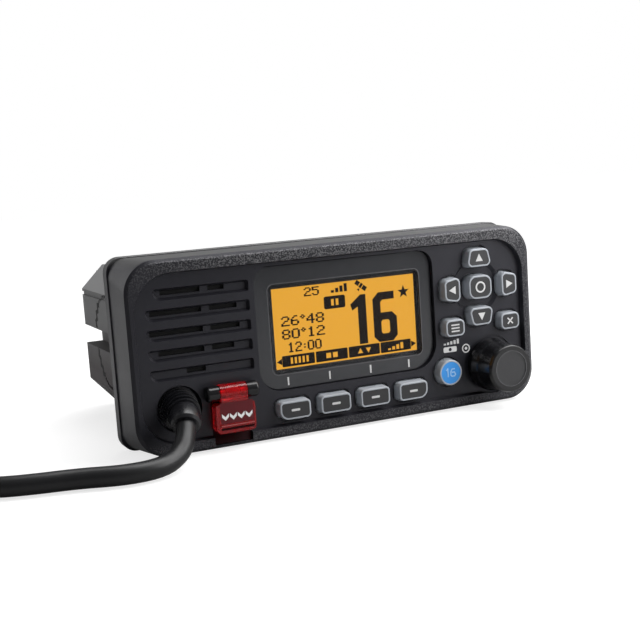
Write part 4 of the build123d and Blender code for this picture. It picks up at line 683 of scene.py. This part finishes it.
# ================================================================ keys
DARK_KEYS = ["key_up", "key_left", "key_down", "key_right", "key_enter", "key_menu", "key_clear",
             "softkey_1", "softkey_2", "softkey_3", "softkey_4"]
ARROWS = {"key_up": 0, "key_left": 90, "key_down": 180, "key_right": -90}
RECESS = 0.2           # depth of the recess in a key's front
RECESS_SLACK = 0.05
FACING_FRONT = -0.99
INLAY_LIFT = 0.12
MARK_RISE = 0.05
MARK_SINK = 0.02       # how far a mark's front lies behind the key's edge
ARROW = 3.0
ENTER_RING = (2.1, 1.5)
MENU_BAR = (3.4, 0.5)
MENU_PITCH = 1.15
CROSS = 1.1            # from its middle to an end
CROSS_WIDTH = 0.5
SOFT_DASH = (3.2, 0.8, 0.3)
SIXTEEN = [            # the middle lines of a 1 and a 6
    [(-2.0, 1.0), (-1.3, 1.5), (-1.3, -1.5)],
    [(1.7, 1.3), (0.5, 1.3), (-0.1, 0.3), (-0.1, -0.9), (0.4, -1.35), (1.4, -1.35),
     (1.9, -0.8), (1.5, 0.1), (0.3, 0.1)],
]
SIXTEEN_WIDTH = 0.45


def inlay(node, material):
    """The face that fills a key's recess, taken up to just under the key's edge."""
    source = NODES[node].data
    floor_y = min(v.co.y for v in source.vertices) + RECESS * MM
    shape = bmesh.new()
    shape.from_mesh(source)
    others = [f for f in shape.faces if f.normal.y >= FACING_FRONT
              or abs(f.calc_center_median().y - floor_y) >= RECESS_SLACK * MM]
    bmesh.ops.delete(shape, geom=others, context="FACES")
    for vertex in shape.verts:
        vertex.co.y -= INLAY_LIFT * MM
    mesh = bpy.data.meshes.new(f"{node}.face")
    shape.to_mesh(mesh)
    shape.free()
    piece = bpy.data.objects.new(f"{node}.face", mesh)
    bpy.context.collection.objects.link(piece)
    piece.data.materials.append(MATERIALS[material])
    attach(piece, f"{node}_body")


def add_key_marks():
    """The inlaid faces, and a plain sign on each key."""
    for node in DARK_KEYS:
        inlay(node, "key_face")
    inlay("key_round", "blue_face")
    y = front_of("key_up") + MARK_SINK

    def mark(node, outlines, holes=(), material="print", name="mark"):
        flat(f"{node}.{name}", outlines, y, material, f"{node}_body", holes, MARK_RISE)

    for node, turn in ARROWS.items():
        mark(node, [triangle(*middle_of(node), ARROW, turn)])
    x, z = middle_of("key_enter")
    outer, inner = ENTER_RING
    mark("key_enter", [ring(x, z, outer)], [ring(x, z, inner)])
    x, z = middle_of("key_menu")
    mark("key_menu", [oblong(x, z + i * MENU_PITCH, *MENU_BAR) for i in (-1, 0, 1)])
    x, z = middle_of("key_clear")
    for name, tilt in (("mark", 1), ("mark2", -1)):
        line = [(x - CROSS, z - CROSS * tilt), (x + CROSS, z + CROSS * tilt)]
        mark("key_clear", [stroke(line, CROSS_WIDTH)], name=name)
    x, z = middle_of("key_round")
    digits = [stroke(line, SIXTEEN_WIDTH) for line in SIXTEEN]
    mark("key_round", moved(digits, x, z), material="blue_mark")
    for i in range(4):
        node = f"softkey_{i + 1}"
        mark(node, [oblong(*middle_of(node), *SOFT_DASH)])


# ================================================================ prints on the panel
TICKS = (-21.6, -5.7, 10.5, 26.1)
TICK = (0.6, 2.9)
TICK_Z = 19.25
WINDOW_PAINTED_HIGHLIGHT = 0.3      # mm round the window: a painted highlight on the lens's edge
WINDOW_ROUND = (2.4, 2.2)
PANEL = 2.0            # the sunk panel's depth
STANDBY = (40.0, 45.6, 21.3, 23.3, 0.5)
STANDBY_DOT = (42.8, 22.3, 0.65)
LEVEL = (5, 40.2, 24.1, 1.4, 0.9, 0.6, 0.3)
TURN = (49.6, 21.9)
TURN_RINGS = (1.7, 1.25, 0.55)


def add_panel_prints():
    """The ticks under the window, the painted highlight round it, and the signs by the knob."""
    window = front_of("display_plate")
    x0, x1, z0, z1 = edges_of("display_lens")
    line = WINDOW_PAINTED_HIGHLIGHT
    outer, inner = WINDOW_ROUND
    # painted highlight round the lens
    printed("window_painted_highlight", [box(x0 - line, x1 + line, z0 - line, z1 + line, outer)], window,
            "window_painted_highlight", holes=[box(x0, x1, z0, z1, inner)])
    printed("ticks", [oblong(x, TICK_Z, *TICK) for x in TICKS], window)
    printed("standby_sign", [box(*STANDBY)], PANEL, holes=[ring(*STANDBY_DOT)])
    printed("level_sign", bars(*LEVEL), PANEL)
    outer, inner, dot = TURN_RINGS
    printed("turn_sign", [ring(*TURN, outer)], PANEL, holes=[ring(*TURN, inner)])
    printed("turn_dot", [ring(*TURN, dot)], PANEL)


LABEL = (9.5, 16.6, 0.5)       # foot, top, corner radius
# painted shade under the cover's ridge: foot, top, corner radius
RIDGE_PAINTED_SHADE = (7.3, 8.1, 0.2)
# foot and top of the painted highlight along the cover's ridge
RIDGE_PAINTED_HIGHLIGHT = (8.75, 9.0)
LABEL_LEFT = 1.5       # from the cover's left side
LABEL_RIGHT = 0.7      # from its right side
LABEL_RISE = 0.06
CHEVRONS = 4
CHEVRON_PITCH = 2.8
CHEVRON_Z = 11.7
CHEVRON = [(-1.2, 1.2), (0, 0.05), (1.2, 1.2), (1.2, 0.05), (0, -1.15), (-1.2, 0.05)]
CHEVRON_Y = 0.055      # how far their middle stands before the cover's face
CHEVRON_RISE = 0.05
COVER_RIDGE = 0.35     # how far the cover's ridge stands before its face


def add_distress_label():
    """The matt plate on the cover, with plain chevrons that point to the edge it lifts by, a painted
    highlight along the cover's ridge, and a band of painted shade under it.
    """
    ridge = front_of("distress_cover")
    front = ridge + COVER_RIDGE
    x0, x1, _, _ = edges_of("distress_cover")
    x0, x1 = x0 + LABEL_LEFT, x1 - LABEL_RIGHT
    printed("distress_plate", [box(x0, x1, *LABEL)], front, "label_red", "cover",
            rise=LABEL_RISE)
    # painted shade under the ridge
    printed("distress_ridge_shade", [box(x0, x1, *RIDGE_PAINTED_SHADE)], front, "tray_red", "cover",
            rise=LABEL_RISE)
    # painted highlight on the ridge
    printed("distress_ridge_highlight", [box(x0, x1, *RIDGE_PAINTED_HIGHLIGHT)], ridge, "ridge_highlight_paint", "cover")
    marks = []
    for i in range(CHEVRONS):
        x = (x0 + x1) / 2 + (i - (CHEVRONS - 1) / 2) * CHEVRON_PITCH
        marks += moved([CHEVRON], x, CHEVRON_Z)
    printed("distress_mark", marks, front - CHEVRON_Y, "print_white", "cover",
            rise=CHEVRON_RISE)


# radii of the painted highlight round the knob's end
KNOB_PAINTED_HIGHLIGHT = (6.35, 6.6)
KNOB_GAP = 0.12        # past the cap's edge
KNOB_SIDES = 64


def add_knob_edge():
    """A painted highlight round the knob's end, and the dark band outside it."""
    x, z = middle_of("knob_cap")
    left, right, _, _ = edges_of("knob_cap")
    outside = ring(x, z, (right - left) / 2 + KNOB_GAP, KNOB_SIDES)
    inner, outer = (ring(x, z, radius, KNOB_SIDES) for radius in KNOB_PAINTED_HIGHLIGHT)
    front = front_of("volume_knob")
    printed("knob_edge", [outside], front, "knob", "knob", [outer])
    # painted highlight round the knob's end
    printed("knob_painted_highlight", [outer], front, "knob_edge", "knob", [inner])


# ================================================================ painted shade on the sides
BOLT = (58.5, 32.5)
SIDE = 70.0            # the case's side, from its middle
TEETH_MID = 17.3
TEETH_ARCS = ((15, 54), (-54, -15), (126, 234))    # clear of the slot and the chamfers
TOOTH = 1.9            # half a tooth's pitch
TOOTH_HIGH = 0.8
TOOTH_WIDE = 2.0
TEETH_RISE = 0.1


def zigzag(middle, radius, start, end):
    """A jagged band along an arc, its angles in degrees."""
    steps = round(radians(end - start) * radius / TOOTH)
    inner, outer = [], []
    for i in range(steps + 1):
        a = radians(start + (end - start) * i / steps)
        r = radius + (TOOTH_HIGH if i % 2 else -TOOTH_HIGH)
        for line, shift in ((inner, -TOOTH_WIDE / 2), (outer, TOOTH_WIDE / 2)):
            line.append((middle[0] + (r + shift) * cos(a), middle[1] + (r + shift) * sin(a)))
    return outer + inner[::-1]


def add_side_teeth_painted_shade():
    """Dark toothed bands on the case's sides: painted shade in the toothed grooves that the bracket's
    washers grip.
    """
    arcs = [zigzag(BOLT, TEETH_MID, start, end) for start, end in TEETH_ARCS]
    for name, x in (("left", -SIDE), ("right", SIDE)):
        place = Matrix.Translation(at(x, 0, 0)) @ Matrix.Rotation(pi / 2, 4, "Z")
        # a black sheet of painted shade over the toothed groove
        flat(f"side_marks_{name}", arcs, 0, "gasket", "radio", rise=TEETH_RISE, place=place)


# ================================================================ surroundings
FLOOR_HALF = 3.0       # m
FLOOR_DROP = 0.0003    # m below the part's foot
FLOOR_FADE = (0.15, 1.2)       # m from the origin, over which its glow rises
FLOOR_GLOW = (0.74, 0.97)
FLOOR_SEEN = (1.0, 0.1, 0.0)   # to the camera and glass, to gloss, and as light
WORLD_SEEN = (1.0, 0.22, 0.09)
LIGHTS = [             # name, place, target, size in m, watts
    ("top", at(220, 80, 540), at(20, 0, 20), 0.6, 6.8),
    ("left", at(-540, 400, 240), at(-60, 50, 30), 0.9, 1.8),
    ("right", at(240, -170, 180), at(70, 0, 30), 0.24, 1.15),
]


def seen_directly(tree, direct, glossy, otherwise):
    """A strength for what the camera and glass see, for what gloss sees, and for its light."""
    path = tree.nodes.new("ShaderNodeLightPath").outputs
    clear = combine(tree, "MAXIMUM", path["Is Camera Ray"], path["Is Transmission Ray"])
    mirrored = spread(tree, path["Is Glossy Ray"], otherwise, glossy)
    return spread(tree, clear, mirrored, direct)


def add_floor():
    """A pale floor that glows a little less near the part."""
    mesh = bpy.data.meshes.new("floor")
    size = FLOOR_HALF
    mesh.from_pydata([(-size, -size, 0), (size, -size, 0), (size, size, 0), (-size, size, 0)],
                     [], [(0, 1, 2, 3)])
    piece = bpy.data.objects.new("floor", mesh)
    bpy.context.collection.objects.link(piece)
    piece.location.z = -FLOOR_DROP
    material = bpy.data.materials.new("floor")
    material.use_nodes = True
    tree = material.node_tree
    shader = tree.nodes["Principled BSDF"]
    shader.inputs["Base Color"].default_value = (0.35, 0.35, 0.35, 1)
    shader.inputs["Roughness"].default_value = 0.9
    shader.inputs[SPECULAR].default_value = 0.1
    shader.inputs["Emission Color"].default_value = (1, 1, 1, 1)
    reach = tree.nodes.new("ShaderNodeVectorMath")
    reach.operation = "LENGTH"
    link(tree, coordinates(tree), reach.inputs[0])
    glow = spread(tree, between(tree, reach.outputs["Value"], *FLOOR_FADE), *FLOOR_GLOW)
    strength = combine(tree, "MULTIPLY", glow, seen_directly(tree, *FLOOR_SEEN))
    link(tree, strength, shader.inputs["Emission Strength"])
    mesh.materials.append(material)


def add_world():
    """An even world that the camera sees as white."""
    world = bpy.data.worlds.new("world")
    world.use_nodes = True
    bpy.context.scene.world = world
    tree = world.node_tree
    background = tree.nodes["Background"]
    background.inputs["Color"].default_value = (1, 1, 1, 1)
    link(tree, seen_directly(tree, *WORLD_SEEN), background.inputs["Strength"])


def add_light(name, place, target, size, watts):
    data = bpy.data.lights.new(name, "AREA")
    data.size = size
    data.energy = watts
    light = bpy.data.objects.new(name, data)
    turn = (target - place).to_track_quat("-Z", "Y").to_matrix().to_4x4()
    light.matrix_world = Matrix.Translation(place) @ turn
    bpy.context.collection.objects.link(light)


def add_stage():
    """The floor, the world and the soft lights."""
    bpy.context.scene.view_settings.view_transform = "Standard"
    add_floor()
    add_world()
    for light in LIGHTS:
        add_light(*light)


# ================================================================ run
def main():
    add_camera()
    add_cord()
    paint_nodes()
    add_picture()
    add_key_marks()
    add_panel_prints()
    add_distress_label()
    add_knob_edge()
    add_side_teeth_painted_shade()
    add_stage()


main()
